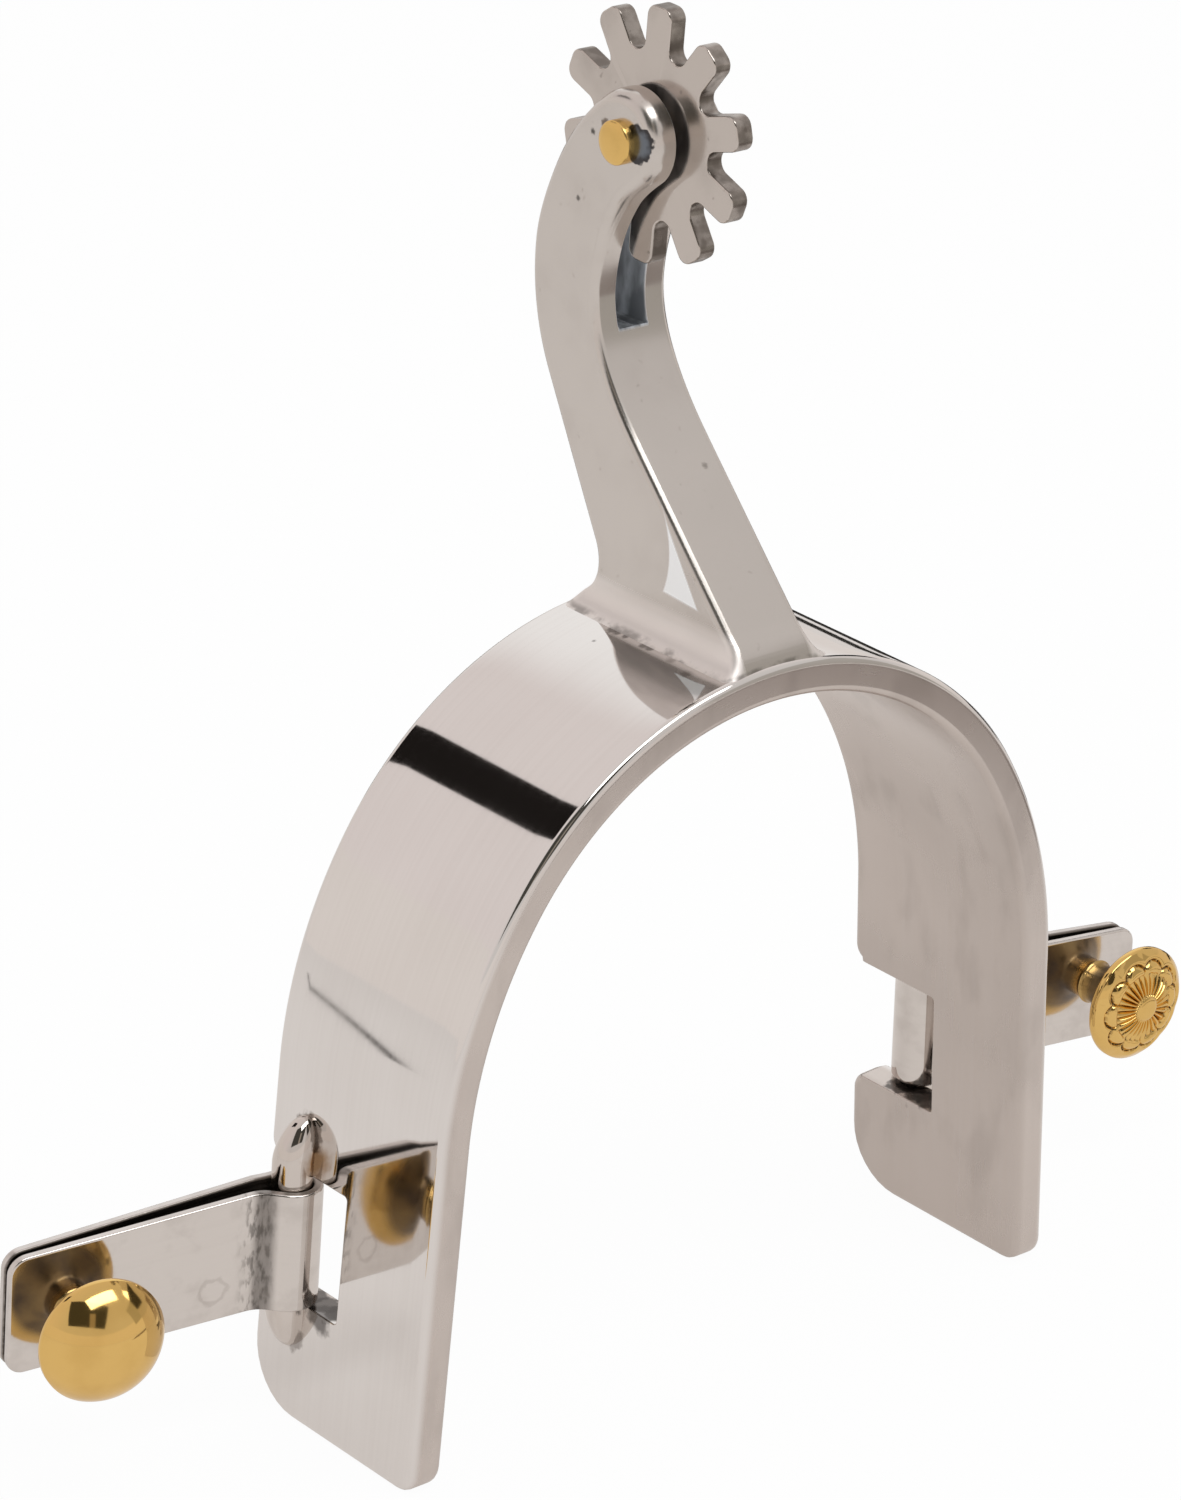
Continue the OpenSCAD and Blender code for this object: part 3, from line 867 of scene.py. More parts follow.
@dataclass
class HeelBand:
    """The flat bar bent around the heel, with a notch in the back edge of each arm."""

    width: float = 25.4
    thickness: float = 3.7
    heel_radius: float = 34.2
    heel_half_deg: float = 57.0
    shoulder_radius: float = 45.0
    splay_deg: float = 3.7
    floor_drop: float = 38.3
    front_corner: float = 2.4
    back_corner: float = 6.5
    edge: float = 0.85
    notch_edge: float = 0.18
    notch_front: float = 0.5
    notch_above: float = 6.95
    notch_below: float = 6.55
    notch_mouth: float = 1.8
    notch_corner: float = 0.4
    notch_slack: float = 0.1
    mouth_share: float = 0.4
    post_out: float = 4.9
    post_back: float = 7.1
    post_lean_deg: float = 2.0
    hinge_rise: float = 19.0
    crown_cuts: int = 92
    shoulder_cuts: int = 26

    def __post_init__(self) -> None:
        """Works out the bends."""
        self.splay = math.radians(self.splay_deg)
        self.heel_end = math.radians(90.0 - self.heel_half_deg)
        self.crown_run = math.radians(self.heel_half_deg) * self.heel_radius
        self.shoulder_run = (self.heel_end - self.splay) * self.shoulder_radius
        offset = self.heel_radius - self.shoulder_radius
        self.shoulder_at = (offset * math.cos(self.heel_end), offset * math.sin(self.heel_end))
        self.arm_top = (
            self.shoulder_at[0] + self.shoulder_radius * math.cos(self.splay),
            self.shoulder_at[1] + self.shoulder_radius * math.sin(self.splay),
        )
        self.arm_run = (self.arm_top[1] + self.floor_drop) / math.cos(self.splay)
        self.arm_start = self.crown_run + self.shoulder_run
        self.half_run = self.arm_start + self.arm_run
        self.hinge_down = self.arm_run - self.hinge_rise / math.cos(self.splay)
        self.notch_high = self.hinge_down - self.notch_above
        self.notch_low = self.hinge_down + self.notch_below

    def bent(self, run: float, across: float, out: float) -> Vector:
        """Where a point of the flat bar lies on the bent band.

        Args:
            run: Distance along the bar from the crown, to the right.
            across: Distance across the bar.
            out: Distance from its inner face.

        Returns:
            The point in the CAD frame.
        """
        left = abs(run)
        if left <= self.crown_run:
            angle = math.pi / 2.0 - left / self.heel_radius
            x = (self.heel_radius + out) * math.cos(angle)
            z = (self.heel_radius + out) * math.sin(angle)
        elif left <= self.arm_start:
            angle = self.heel_end - (left - self.crown_run) / self.shoulder_radius
            x = self.shoulder_at[0] + (self.shoulder_radius + out) * math.cos(angle)
            z = self.shoulder_at[1] + (self.shoulder_radius + out) * math.sin(angle)
        else:
            down = left - self.arm_start
            low = max(0.0, (down - self.notch_low) / (self.arm_run - self.notch_low))
            down += low * out * math.tan(self.splay)
            x = self.arm_top[0] + out * math.cos(self.splay) + down * math.sin(self.splay)
            z = self.arm_top[1] + out * math.sin(self.splay) - down * math.cos(self.splay)
        return Vector((math.copysign(x, run), across, z))

    def outline(self) -> tuple[list[Point], list[float]]:
        """The flat bar's outline.

        Returns:
            Its points, and the edge rounding at each.
        """
        half = self.width / 2.0
        end = self.half_run
        high = self.arm_start + self.notch_high
        low = self.arm_start + self.notch_low
        notch = [
            (low, half, self.notch_mouth),
            (low, self.notch_front, self.notch_corner),
            (high, self.notch_front, self.notch_corner),
            (high, half, self.notch_mouth),
        ]
        points = rounded([
            (-end, -half, self.front_corner),
            (end, -half, self.front_corner),
            (end, half, self.back_corner),
            *notch,
            *[(-x, y, r) for x, y, r in reversed(notch)],
            (-end, half, self.back_corner),
        ])
        edges = []
        slack = self.notch_slack
        mouth = half - self.mouth_share * self.notch_mouth
        for x, y in points:
            inside = high - slack < abs(x) < low + slack and 0.0 < y < mouth
            edges.append(self.notch_edge if inside else self.edge)
        return points, edges

    def hinge(self, side: Side) -> Matrix:
        """The frame of a hinge: Z along its post, X away from the arm.

        Args:
            side: Which arm.

        Returns:
            The frame in millimetres.
        """
        arm = Matrix.Translation((self.arm_top[0], 0.0, self.arm_top[1])) @ turn_about("Y", -self.splay_deg)
        foot = Matrix.Translation((self.post_out, self.post_back, -self.hinge_down))
        right = arm @ foot @ turn_about("Y", self.post_lean_deg)
        return Matrix.Scale(side.value, 4, (1.0, 0.0, 0.0)) @ right

    def build(self, finish: Finish) -> Object:
        """Cuts, rounds and bends the bar.

        Args:
            finish: Its finish.

        Returns:
            The piece.
        """
        crown = [self.crown_run * (2.0 * i / self.crown_cuts - 1.0) for i in range(self.crown_cuts + 1)]
        arm = [
            self.crown_run + self.shoulder_run * (i + 1) / self.shoulder_cuts
            for i in range(self.shoulder_cuts)
        ]
        arm.append(self.arm_start + self.notch_low)
        bm = FlatBar(*self.outline(), self.thickness).mesh([*crown, *arm, *[-s for s in arm]], self.bent)
        return hand_over("heel_band_bar", bm, Matrix(), finish, "heel_band", "frame")


@dataclass
class HingePost:
    """A round rod joined by braze into the face of an arm across its notch."""

    band: HeelBand
    side: Side
    radius: float = 2.0
    half: float = 12.25
    tip: float = 4.5
    top_lean: float = 1.25
    low_lean: float = 0.8
    lean_power: float = 1.6
    lift: float = 0.7
    tip_steps: int = 14

    def build(self, finish: Finish) -> Object:
        """Turns the rod and bends its tips.

        Args:
            finish: Its finish.

        Returns:
            The piece.
        """
        dome = [math.radians(90.0 * k / self.tip_steps) for k in range(self.tip_steps + 1)]
        bm = lathe([(self.radius * math.cos(a), self.half - self.tip * (1.0 - math.sin(a))) for a in dome])
        for vert in bm.verts:
            past = max(0.0, abs(vert.co.z) - self.half + self.tip) / self.tip
            vert.co.x -= (self.top_lean if vert.co.z > 0.0 else self.low_lean) * past ** self.lean_power
        place = self.band.hinge(self.side) @ Matrix.Translation((0.0, 0.0, self.lift))
        word = self.side.word
        return hand_over(f"{word}_hinge_post", bm, place, finish, f"{word}_post", "frame", None)


@dataclass
class Strap:
    """A sheet folded around a hinge post into two leaves."""

    band: HeelBand
    side: Side
    droop_deg: float
    swing_deg: float
    sheet: float = 1.0
    height: float = 12.5
    length: float = 29.3
    throat: float = 2.0
    leaf_back: float = 0.9
    end_gap: float = 0.5
    barrel_inside: float = 2.1
    crease: float = 3.75
    crease_turn: float = 50.0
    wrap_end: float = 0.4
    bend_reach: float = 1.2
    bend_passes: int = 12
    corner: float = 1.8
    edge: float = 0.28
    edge_steps: int = 3
    taper: float = 0.03
    step: float = 0.2
    fine_past: float = 2.5
    leaf_skip: int = 4
    leaf_step: int = 6

    def __post_init__(self) -> None:
        """Works out the fold."""
        self.barrel_middle = self.barrel_inside + self.sheet / 2.0
        self.barrel_outside = self.barrel_inside + self.sheet
        self.path = self.fold()
        self.runs = [0.0]
        for first, second in zip(self.path, self.path[1:]):
            self.runs.append(self.runs[-1] + (second - first).length)

    def frame(self) -> Matrix:
        """The frame of the strap, swung on its hinge."""
        return self.band.hinge(self.side) @ turn_about("Z", self.swing_deg)

    def fall(self, x: float) -> float:
        """How far the strap has dropped at a distance from the post's axis."""
        return max(0.0, x - self.barrel_outside) * math.tan(math.radians(self.droop_deg))

    def leaf_middle(self, x: float, side: float) -> float:
        """Where a leaf's middle lies, away from the post's axis.

        Args:
            x: Distance along the strap.
            side: -1 for the front leaf, 1 for the back leaf.

        Returns:
            Distance to the back, negative in front.
        """
        start = self.leaf_back + side * (self.throat + self.sheet) / 2.0
        end = side * (self.end_gap + self.sheet) / 2.0
        return start + (end - start) * x / self.length

    def fold(self) -> list[Vector]:
        """The middle of the folded sheet in plan.

        Returns:
            Points from the end of the front leaf, around the barrel, to the end of the back leaf.
        """
        first = -math.radians(self.crease_turn)
        last = math.acos(self.wrap_end) - math.tau
        around = round((first - last) * self.barrel_middle / self.step)
        angles = [first + (last - first) * i / around for i in range(around + 1)]
        barrel = [Vector((math.cos(a), math.sin(a))) * self.barrel_middle for a in angles]
        bends = [Vector((self.crease, self.leaf_middle(self.crease, -1.0))), barrel[-1]]
        front_end, back_end = (Vector((self.length, self.leaf_middle(self.length, s))) for s in (-1.0, 1.0))

        def straight(start: Vector, end: Vector) -> list[Vector]:
            """Points along a line, with its start."""
            count = max(1, round((end - start).length / self.step))
            return [start.lerp(end, i / count) for i in range(count)]

        path = [
            *straight(front_end, bends[0]),
            *straight(bends[0], barrel[0]),
            *barrel[:-1],
            *straight(barrel[-1], back_end),
            back_end,
        ]
        for _ in range(self.bend_passes):
            eased_path = [path[0]]
            for before, here, after in zip(path, path[1:], path[2:]):
                near = min((here - bend).length for bend in bends)
                pull = max(0.0, 1.0 - near / self.bend_reach)
                eased_path.append(here.lerp((before + after) / 2.0, pull))
            path = [*eased_path, path[-1]]
        return path

    def bent(self, run: float, up: float, out: float) -> Vector:
        """Where a point of the flat sheet lies on the folded strap.

        Args:
            run: Distance along the sheet from the front leaf's end.
            up: Height on the sheet.
            out: Distance from the sheet's inner face.

        Returns:
            The point in the strap's frame.
        """
        last = len(self.path) - 2
        i = 0
        while i < last and self.runs[i + 1] < run:
            i += 1
        part = (run - self.runs[i]) / (self.runs[i + 1] - self.runs[i])
        here = self.path[i].lerp(self.path[i + 1], part)
        before = self.path[max(0, i - 1)]
        after = self.path[min(last + 1, i + 2)]
        heading = ((self.path[i + 1] - before).lerp(after - self.path[i], part)).normalized()
        at = here - Vector((heading.y, -heading.x)) * (out - self.sheet / 2.0)
        narrow = 1.0 - self.taper * max(0.0, at.x - self.barrel_outside) / self.length
        return Vector((at.x, at.y, up * narrow - self.fall(at.x)))

    def build(self, finish: Finish) -> Object:
        """Cuts and folds the sheet.

        Args:
            finish: Its finish.

        Returns:
            The piece.
        """
        total = self.runs[-1]
        half = self.height / 2.0
        corners = [(0.0, -half), (total, -half), (total, half), (0.0, half)]
        points = rounded([(x, y, self.corner) for x, y in corners])
        barrel_end = self.barrel_outside + self.fine_past
        fine = [r for p, r in zip(self.path, self.runs) if p.x < barrel_end]
        coarse = [r for p, r in zip(self.path, self.runs) if p.x >= barrel_end]
        flat = FlatBar(points, [self.edge] * len(points), self.sheet, self.edge_steps)
        bm = flat.mesh([*fine, *coarse[self.leaf_skip:-self.leaf_skip:self.leaf_step]], self.bent)
        word = self.side.word
        return hand_over(f"{word}_strap_sheet", bm, self.frame(), finish, f"{word}_strap", f"{word}_hanger")


@dataclass
class Button:
    """A turned brass button riveted through a strap."""

    strap: Strap
    face: ButtonFace
    reach: float
    lift: float
    radius: float = 6.3
    neck_radius: float = 2.2
    neck: float = 3.0
    flare: float = 2.6
    flare_power: float = 1.35
    flare_steps: int = 8
    rim: float = 0.8
    dome: float = 4.0
    flower: float = 1.7
    petals: int = 10
    petal_end: float = 5.15
    scallop: float = 0.75
    rib_end: float = 3.9
    ribs_each: int = 3
    eye: float = 1.5
    eye_rise: float = 0.26
    eye_drop: float = 0.4
    rim_bead: float = 0.30
    rim_groove: float = 0.36
    rib_sink: float = 0.06
    rib_relief: float = 0.46
    petal_sink: float = 0.18
    petal_relief: float = 0.50
    stem_radius: float = 1.5
    tail_radius: float = 2.4
    tail: float = 1.0
    steps: int = 30
    face_steps: int = 46

    def frame(self) -> Matrix:
        """The frame of the button: Z out of the front leaf, origin on its face.

        Returns:
            The frame in millimetres.
        """
        front = self.strap.leaf_middle(self.reach, -1.0) - self.strap.sheet / 2.0
        seat = Matrix.Translation((self.reach, front, self.lift - self.strap.fall(self.reach)))
        return self.strap.frame() @ seat @ turn_about("X", 90.0)

    def profile(self) -> list[Point]:
        """Radius and height along the body.

        Returns:
            Points from the riveted tail to the rim.
        """
        front, back = (self.strap.leaf_middle(self.reach, s) for s in (-1.0, 1.0))
        low = front - back - self.strap.sheet
        rim_z = self.neck + self.flare
        body = [
            (0.0, low - self.tail),
            (0.55 * self.tail_radius, low - 0.96 * self.tail),
            (0.85 * self.tail_radius, low - 0.7 * self.tail),
            (self.tail_radius, low - 0.25 * self.tail),
            (self.tail_radius, low),
            (self.stem_radius, low),
            (self.stem_radius, 0.0),
            (self.neck_radius + 0.25, 0.0),
            (self.neck_radius + 0.1, 0.15),
            (self.neck_radius, 0.5),
            (self.neck_radius, self.neck - 0.6),
        ]
        for k in range(self.flare_steps + 1):
            share = k / self.flare_steps
            width = self.neck_radius + (self.radius - 0.25 - self.neck_radius) * share ** self.flare_power
            body.append((width, self.neck - 0.3 + (self.flare + 0.2) * share))
        return [*body, (self.radius - 0.08, rim_z + 0.08), (self.radius, rim_z + 0.28)]

    def crown(self, radius: float, turn: float) -> float:
        """Height of the face above the rim.

        Args:
            radius: Distance from the middle.
            turn: Angle from the middle of a petal, from -1 to 1.

        Returns:
            The height in millimetres.
        """
        height = self.dome if self.face is ButtonFace.DOME else self.flower
        ball = (self.radius ** 2 + height ** 2) / (2.0 * height)
        cap = math.sqrt(max(0.0, ball ** 2 - radius ** 2)) - ball + height
        if self.face is ButtonFace.DOME:
            return cap
        if radius <= self.eye:
            return cap + self.eye_rise - self.eye_drop * (radius / self.eye) ** 8
        edge = self.petal_end - self.scallop * abs(turn) ** 2.2
        if radius >= edge:
            past = (radius - edge) / (self.radius - edge)
            bead = self.rim_bead * math.sin(math.pi * past ** 0.7)
            return cap + bead - self.rim_groove * (1.0 - past) ** 7
        ribs = 0.5 + 0.5 * math.cos(math.pi * self.ribs_each * turn)
        along = (radius - self.eye) / (self.rib_end - self.eye)
        if along <= 1.0:
            depth = math.sin(math.pi * min(1.0, 0.06 + 0.94 * along)) ** 0.4
            return cap - self.rib_sink + self.rib_relief * depth * (ribs ** 0.6 - 0.8)
        lobe = (radius - self.rib_end) / (edge - self.rib_end)
        swell = math.sin(math.pi * min(1.0, 0.08 + 0.92 * lobe)) ** 0.6
        return cap - self.petal_sink + self.petal_relief * swell * (1.0 - turn ** 6)

    def sector(self) -> Mesh:
        """One sector of the button, as wide as a petal.

        Returns:
            The open sector around Z.
        """
        bm = bmesh.new()
        turns = [-1.0 + 2.0 * i / self.steps for i in range(self.steps + 1)]
        rim_z = self.neck + self.flare + self.rim
        loops = [(r, [h] * len(turns)) for r, h in self.profile()]
        for k in range(self.face_steps + 1):
            if self.face is ButtonFace.DOME:
                radius = self.radius * math.cos(math.pi / 2.0 * k / self.face_steps)
            else:
                radius = self.radius * (1.0 - k / self.face_steps)
            loops.append((radius, [rim_z + self.crown(radius, turn) for turn in turns]))
        angles = [math.pi / self.petals * turn for turn in turns]
        rings = []
        for radius, heights in loops:
            if radius < TINY:
                rings.append([bm.verts.new((0.0, 0.0, heights[0]))] * len(turns))
                continue
            rings.append([
                bm.verts.new((radius * math.cos(a), radius * math.sin(a), h)) for a, h in zip(angles, heights)
            ])
        skin(bm, rings, False)
        keep_run(bm)
        return bm

    def build(self, repeat: RingRepeat, finish: Finish) -> Object:
        """Turns the button and stamps its face.

        Args:
            repeat: The tree that repeats a sector.
            finish: Its finish.

        Returns:
            The piece.
        """
        word = self.strap.side.word
        name = f"{word}_{self.face.value}_button"
        bm = repeat.around(name, self.sector(), self.petals, finish)
        return hand_over(name, bm, self.frame(), finish, f"{word}_button", f"{word}_hanger", sharp_rims)


@dataclass
class Shank:
    """The bent bar welded to the crown, with a sawn slot for the rowel."""

    thickness: float = 9.3
    head: Point = (9.1, 84.4)
    head_radius: float = 4.9
    back_at: Point = (-2.03, 70.0)
    back_radius: float = 23.1
    head_turn: float = 52.3
    back_lean: float = 28.4
    front_at: Point = (-5.63, 68.25)
    front_radius: float = 17.4
    front_low: float = -12.0
    toe: Point = (-9.6, 40.8)
    front_lean: float = 44.5
    front_length: float = 26.5
    foot_front: float = 12.6
    foot_back: float = 12.5
    foot_fillet: float = 4.2
    foot_fillet_z: float = 42.06
    foot_sunk: float = 35.4
    foot_lip_z: float = 37.98
    side_fillet: float = 3.0
    fillet_stop: float = 0.985
    side_z: float = 40.12
    side_cuts: int = 12
    slot: float = 3.4
    slot_bottom: float = 64.8
    edge: float = 0.9
    head_edge: float = 1.5
    head_edge_from: float = 7.0
    head_edge_over: float = 8.0
    slot_edge: float = 0.22
    steps: int = 5
    spacing: float = 0.33
    knee_ease: tuple[float, int] = (9.0, 160)
    neck_ease: tuple[float, int] = (2.2, 30)
    heel_ease: tuple[float, int] = (1.3, 30)
    lip_ease: tuple[float, int] = (2.6, 40)

    def arc(self, at: Point, radius: float, start: float, end: float) -> list[Point]:
        """Points along an arc, with its ends.

        Args:
            at: Middle of the arc.
            radius: Its radius.
            start: Its first angle, in degrees.
            end: Its last angle.

        Returns:
            The points.
        """
        count = max(2, round(abs(end - start) * math.pi / 180.0 * radius / self.spacing))
        angles = [math.radians(start + (end - start) * i / count) for i in range(count + 1)]
        return [(at[0] + radius * math.cos(a), at[1] + radius * math.sin(a)) for a in angles]

    def line(self, first: Point, second: Point) -> list[Point]:
        """Points along a line, without its ends.

        Args:
            first: Where the line starts.
            second: Where it ends.

        Returns:
            The points.
        """
        count = max(2, round(math.dist(first, second) / self.spacing))
        return [
            (first[0] + (second[0] - first[0]) * i / count, first[1] + (second[1] - first[1]) * i / count)
            for i in range(1, count)
        ]

    def outline(self) -> list[Point]:
        """The side view, with Y across and Z up.

        Returns:
            Closely spaced points in counter-clockwise order.
        """
        lean, rise = math.radians(self.back_lean), math.radians(self.front_lean)
        back = self.arc(self.back_at, self.back_radius, -self.back_lean, self.head_turn)
        offset = Vector(self.head) - Vector(self.front_at)
        reach = offset.length
        spread = math.acos(
            (self.front_radius ** 2 + reach ** 2 - self.head_radius ** 2) / (2.0 * self.front_radius * reach)
        )
        front_end = math.degrees(math.atan2(offset.y, offset.x) - spread)
        turn = math.radians(front_end)
        spoke = Vector((math.cos(turn), math.sin(turn)))
        away = Vector(self.front_at) + self.front_radius * spoke - Vector(self.head)
        leave = (away.x + self.head[0], away.y + self.head[1])
        head_end = math.degrees(math.atan2(away.y, away.x)) % 360.0
        top = self.arc(self.head, self.head_radius, self.head_turn, head_end)[1:]
        front = self.arc(self.front_at, self.front_radius, front_end, self.front_low)[1:]
        knee = (
            self.toe[0] + self.front_length * math.sin(rise),
            self.toe[1] + self.front_length * math.cos(rise),
        )
        tan_y = self.back_at[0] + self.back_radius * math.cos(lean)
        tan_z = self.back_at[1] - self.back_radius * math.sin(lean)
        fillet_y = tan_y - math.tan(lean) * (tan_z - self.foot_fillet_z) + self.foot_fillet / math.cos(lean)
        low_turn = math.degrees(math.acos((self.foot_back - fillet_y) / self.foot_fillet))
        fillet = (fillet_y, self.foot_fillet_z)
        heel = self.arc(fillet, self.foot_fillet, 360.0 - low_turn, 180.0 - self.back_lean)
        lip = (-self.foot_front, self.foot_lip_z)
        under = [(-self.foot_front, self.foot_sunk), (self.foot_back, self.foot_sunk)]
        corners = [front[-1], knee, self.toe, lip, *under, heel[0]]
        lower: list[Point] = []
        for first, second in zip(corners, corners[1:]):
            lower.extend([first, *self.line(first, second)])
        path = [*back, *top, *front[:-1], *lower, *heel, *self.line(heel[-1], back[0])]
        places = (knee, leave, heel[0], lip)
        eases = (self.knee_ease, self.neck_ease, self.heel_ease, self.lip_ease)
        for at, (far, passes) in zip(places, eases):
            path = eased(path, at, far, passes)
        return path

    def edge_at(self, z: float) -> float:
        """Rounding of the long edges at a height, more around the head."""
        share = min(1.0, max(0.0, (z - self.slot_bottom - self.head_edge_from) / self.head_edge_over))
        return self.edge + (self.head_edge - self.edge) * share * share * (3.0 - 2.0 * share)

    def half_width(self, z: float) -> float:
        """Half the width of the foot at a height."""
        drop = min(self.side_fillet * self.fillet_stop, max(0.0, self.side_z - z))
        return self.thickness / 2.0 + (self.side_fillet - math.sqrt(self.side_fillet ** 2 - drop ** 2))

    def with_slot_ends(self) -> tuple[list[Point], int]:
        """The side view, with a point where each side crosses the bottom of the slot.

        Returns:
            The outline, and how many of its points stand at or above the slot's bottom, which come first.
        """
        outline = self.outline()
        above = [z > self.slot_bottom for _, z in outline]
        start = next(i for i in range(len(outline)) if above[i] and not above[i - 1])
        outline = [*outline[start:], *outline[:start]]
        upper = sum(above)
        ends = []
        for (y0, z0), (y1, z1) in ((outline[-1], outline[0]), (outline[upper - 1], outline[upper])):
            share = (self.slot_bottom - z0) / (z1 - z0)
            ends.append((y0 + (y1 - y0) * share, self.slot_bottom))
        return [ends[0], *outline[:upper], ends[1], *outline[upper:]], upper + 2

    def mesh(self) -> Mesh:
        """Rounds the bar, saws its slot and spreads its foot.

        Returns:
            The closed mesh.
        """
        outline, upper = self.with_slot_ends()
        count = len(outline)
        half, gap = self.thickness / 2.0, self.slot / 2.0
        edges = [self.edge_at(z) for _, z in outline]
        depths = [self.slot_edge if 0 < i < upper - 1 else 0.0 for i in range(count)]
        bm = bmesh.new()
        cheeks = []
        for side in (-1.0, 1.0):
            rings = []
            for back, deep in quarter_round(self.steps):
                points = inset(outline, [e * back for e in edges])
                rings.append([
                    bm.verts.new((side * (half - e * deep), y, z)) for (y, z), e in zip(points, edges)
                ])
            for x, points in ((gap + self.slot_edge, outline), (gap, inset(outline, depths))):
                rings.append([bm.verts.new((side * x, y, z)) for y, z in points])
            skin(bm, rings, True)
            bm.faces.new(rings[0])
            bm.faces.new(rings[-1][:upper])
            cheeks.append(rings[-1])
        left, right = cheeks
        for i in range(upper - 1, count):
            j = (i + 1) % count
            bm.faces.new([left[i], left[j], right[j], right[i]])
        bm.faces.new([left[0], left[upper - 1], right[upper - 1], right[0]])
        for k in range(self.side_cuts + 1):
            drop = self.side_fillet * math.sin(math.pi / 2.0 * k / self.side_cuts)
            slice_across(bm, (0.0, 0.0, self.side_z - drop), (0.0, 0.0, 1.0))
        for vert in bm.verts:
            if vert.co.z < self.side_z:
                vert.co.x *= self.half_width(vert.co.z) / half
        return bm

    def build(self, finish: Finish) -> Object:
        """Makes the piece."""
        return hand_over("shank_bar", self.mesh(), Matrix(), finish, "shank", "frame")


@dataclass
class Rowel:
    """The star wheel and the riveted pin that it turns on."""

    at: Point = (9.1, 84.4)
    radius: float = 12.6
    root_radius: float = 8.2
    thickness: float = 2.0
    teeth: int = 10
    tooth: float = 3.4
    tip: float = 1.2
    turn: float = 20.6
    bore: float = 2.2
    edge: float = 0.22
    edge_steps: int = 3
    arc_steps: int = 8
    pin_radius: float = 2.15
    pin_half: float = 5.75
    pin_crown: float = 0.45
    pin_power: float = 0.7
    pin_steps: int = 9

    def frame(self) -> Matrix:
        """The frame of the wheel: Z along the pin."""
        axis = Matrix(((0, 0, 1, 0), (1, 0, 0, 0), (0, 1, 0, 0), (0, 0, 0, 1)))
        return Matrix.Translation((0.0, *self.at)) @ axis

    def flank(self) -> list[Point]:
        """Half a tooth.

        Returns:
            Points from the middle of the root to the middle of the tip.
        """
        step = math.pi / self.teeth
        round_root = (self.root_radius * math.sin(step) - self.tooth / 2.0) / (1.0 - math.sin(step))
        root_out = self.root_radius + round_root
        root_at = (root_out * math.cos(-step), root_out * math.sin(-step))
        tip_at = (self.radius - self.tip, -self.tooth / 2.0 + self.tip)
        half_pi = math.pi / 2.0
        bends = (
            (root_at, round_root, math.pi - step, step - half_pi),
            (tip_at, self.tip, -half_pi, half_pi),
        )
        points = []
        for (x, y), radius, start, sweep in bends:
            for k in range(self.arc_steps + 1):
                angle = start + sweep * k / self.arc_steps
                points.append((x + radius * math.cos(angle), y + radius * math.sin(angle)))
        return [*points, (self.radius, 0.0)]

    def sector(self) -> Mesh:
        """One tooth with its share of the hub.

        Returns:
            The open sector around Z.
        """
        flank = self.flank()
        outline = [*flank, *[(x, -y) for x, y in reversed(flank[:-1])]]
        next_tooth = Matrix.Rotation(math.tau / self.teeth, 2)
        before = next_tooth.inverted() @ Vector(outline[-2])
        padded = [tuple(before), *outline, tuple(next_tooth @ Vector(outline[1]))]
        angles = [math.atan2(y, x) for x, y in outline]
        half = self.thickness / 2.0
        loops = []
        for radius, height in ((self.bore, self.edge - half), (self.bore + self.edge, -half)):
            loops.append(([(radius * math.cos(a), radius * math.sin(a)) for a in angles], height))
        for back, deep in quarter_round(self.edge_steps):
            points = inset(padded, [self.edge * back] * len(padded))[1:-1]
            loops.append((points, self.edge * deep - half))
        loops.extend([(points, -height) for points, height in reversed(loops)])
        bm = bmesh.new()
        rings = [[bm.verts.new((x, y, height)) for x, y in points] for points, height in loops]
        skin(bm, [*rings, rings[0]], False)
        bmesh.ops.transform(bm, matrix=turn_about("Z", self.turn), verts=bm.verts)
        return bm

    def build(self, repeat: RingRepeat, finish: Finish) -> Object:
        """Cuts the star."""
        bm = repeat.around("rowel_star", self.sector(), self.teeth, finish)
        return hand_over("rowel_star", bm, self.frame(), finish, "rowel", "rowel")

    def build_pin(self, finish: Finish) -> Object:
        """Turns the pin with its hammered ends.

        Args:
            finish: Its finish.

        Returns:
            The piece.
        """
        top = []
        for k in range(self.pin_steps + 1):
            angle = math.pi / 2.0 * k / self.pin_steps
            height = self.pin_half - self.pin_crown * (1.0 - math.sin(angle))
            top.append((self.pin_radius * math.cos(angle) ** self.pin_power, height))
        return hand_over("rowel_rivet", lathe(top), self.frame(), finish, "rowel_pin", "frame", None)


# Studio


@dataclass(frozen=True)
class Card:
    """A plain card that only reflections see.

    Its width runs along a given direction, as far as the card's own plane allows.
    """

    name: str
    at: Place
    look: Place
    along: Place
    width: float
    height: float
    color: Color


def sky(name: str, turn: float, lift: float, width: float, height: float, color: Color) -> Card:
    """A card that faces the object from far off in a direction.

    Args:
        name: Its name.
        turn: Direction from the front towards the right, in degrees.
        lift: Height above the horizon, in degrees.
        width: Its width.
        height: Its height.
        color: Its colour.

    Returns:
        The card.
    """
    side, rise = math.radians(turn), math.radians(lift)
    flat = SKY_FAR * math.cos(rise)
    at = (flat * math.sin(side), -flat * math.cos(side), SKY_FAR * math.sin(rise))
    return Card(name, at, MIDDLE, (math.cos(side), math.sin(side), 0.0), width, height, color)


def table(name: str, at: Place, along: Point, width: float, height: float, color: Color) -> Card:
    """A card that lies flat on the table, with its width along a direction."""
    return Card(name, at, (*at[:2], 0.0), (*along, 0.0), width, height, color)


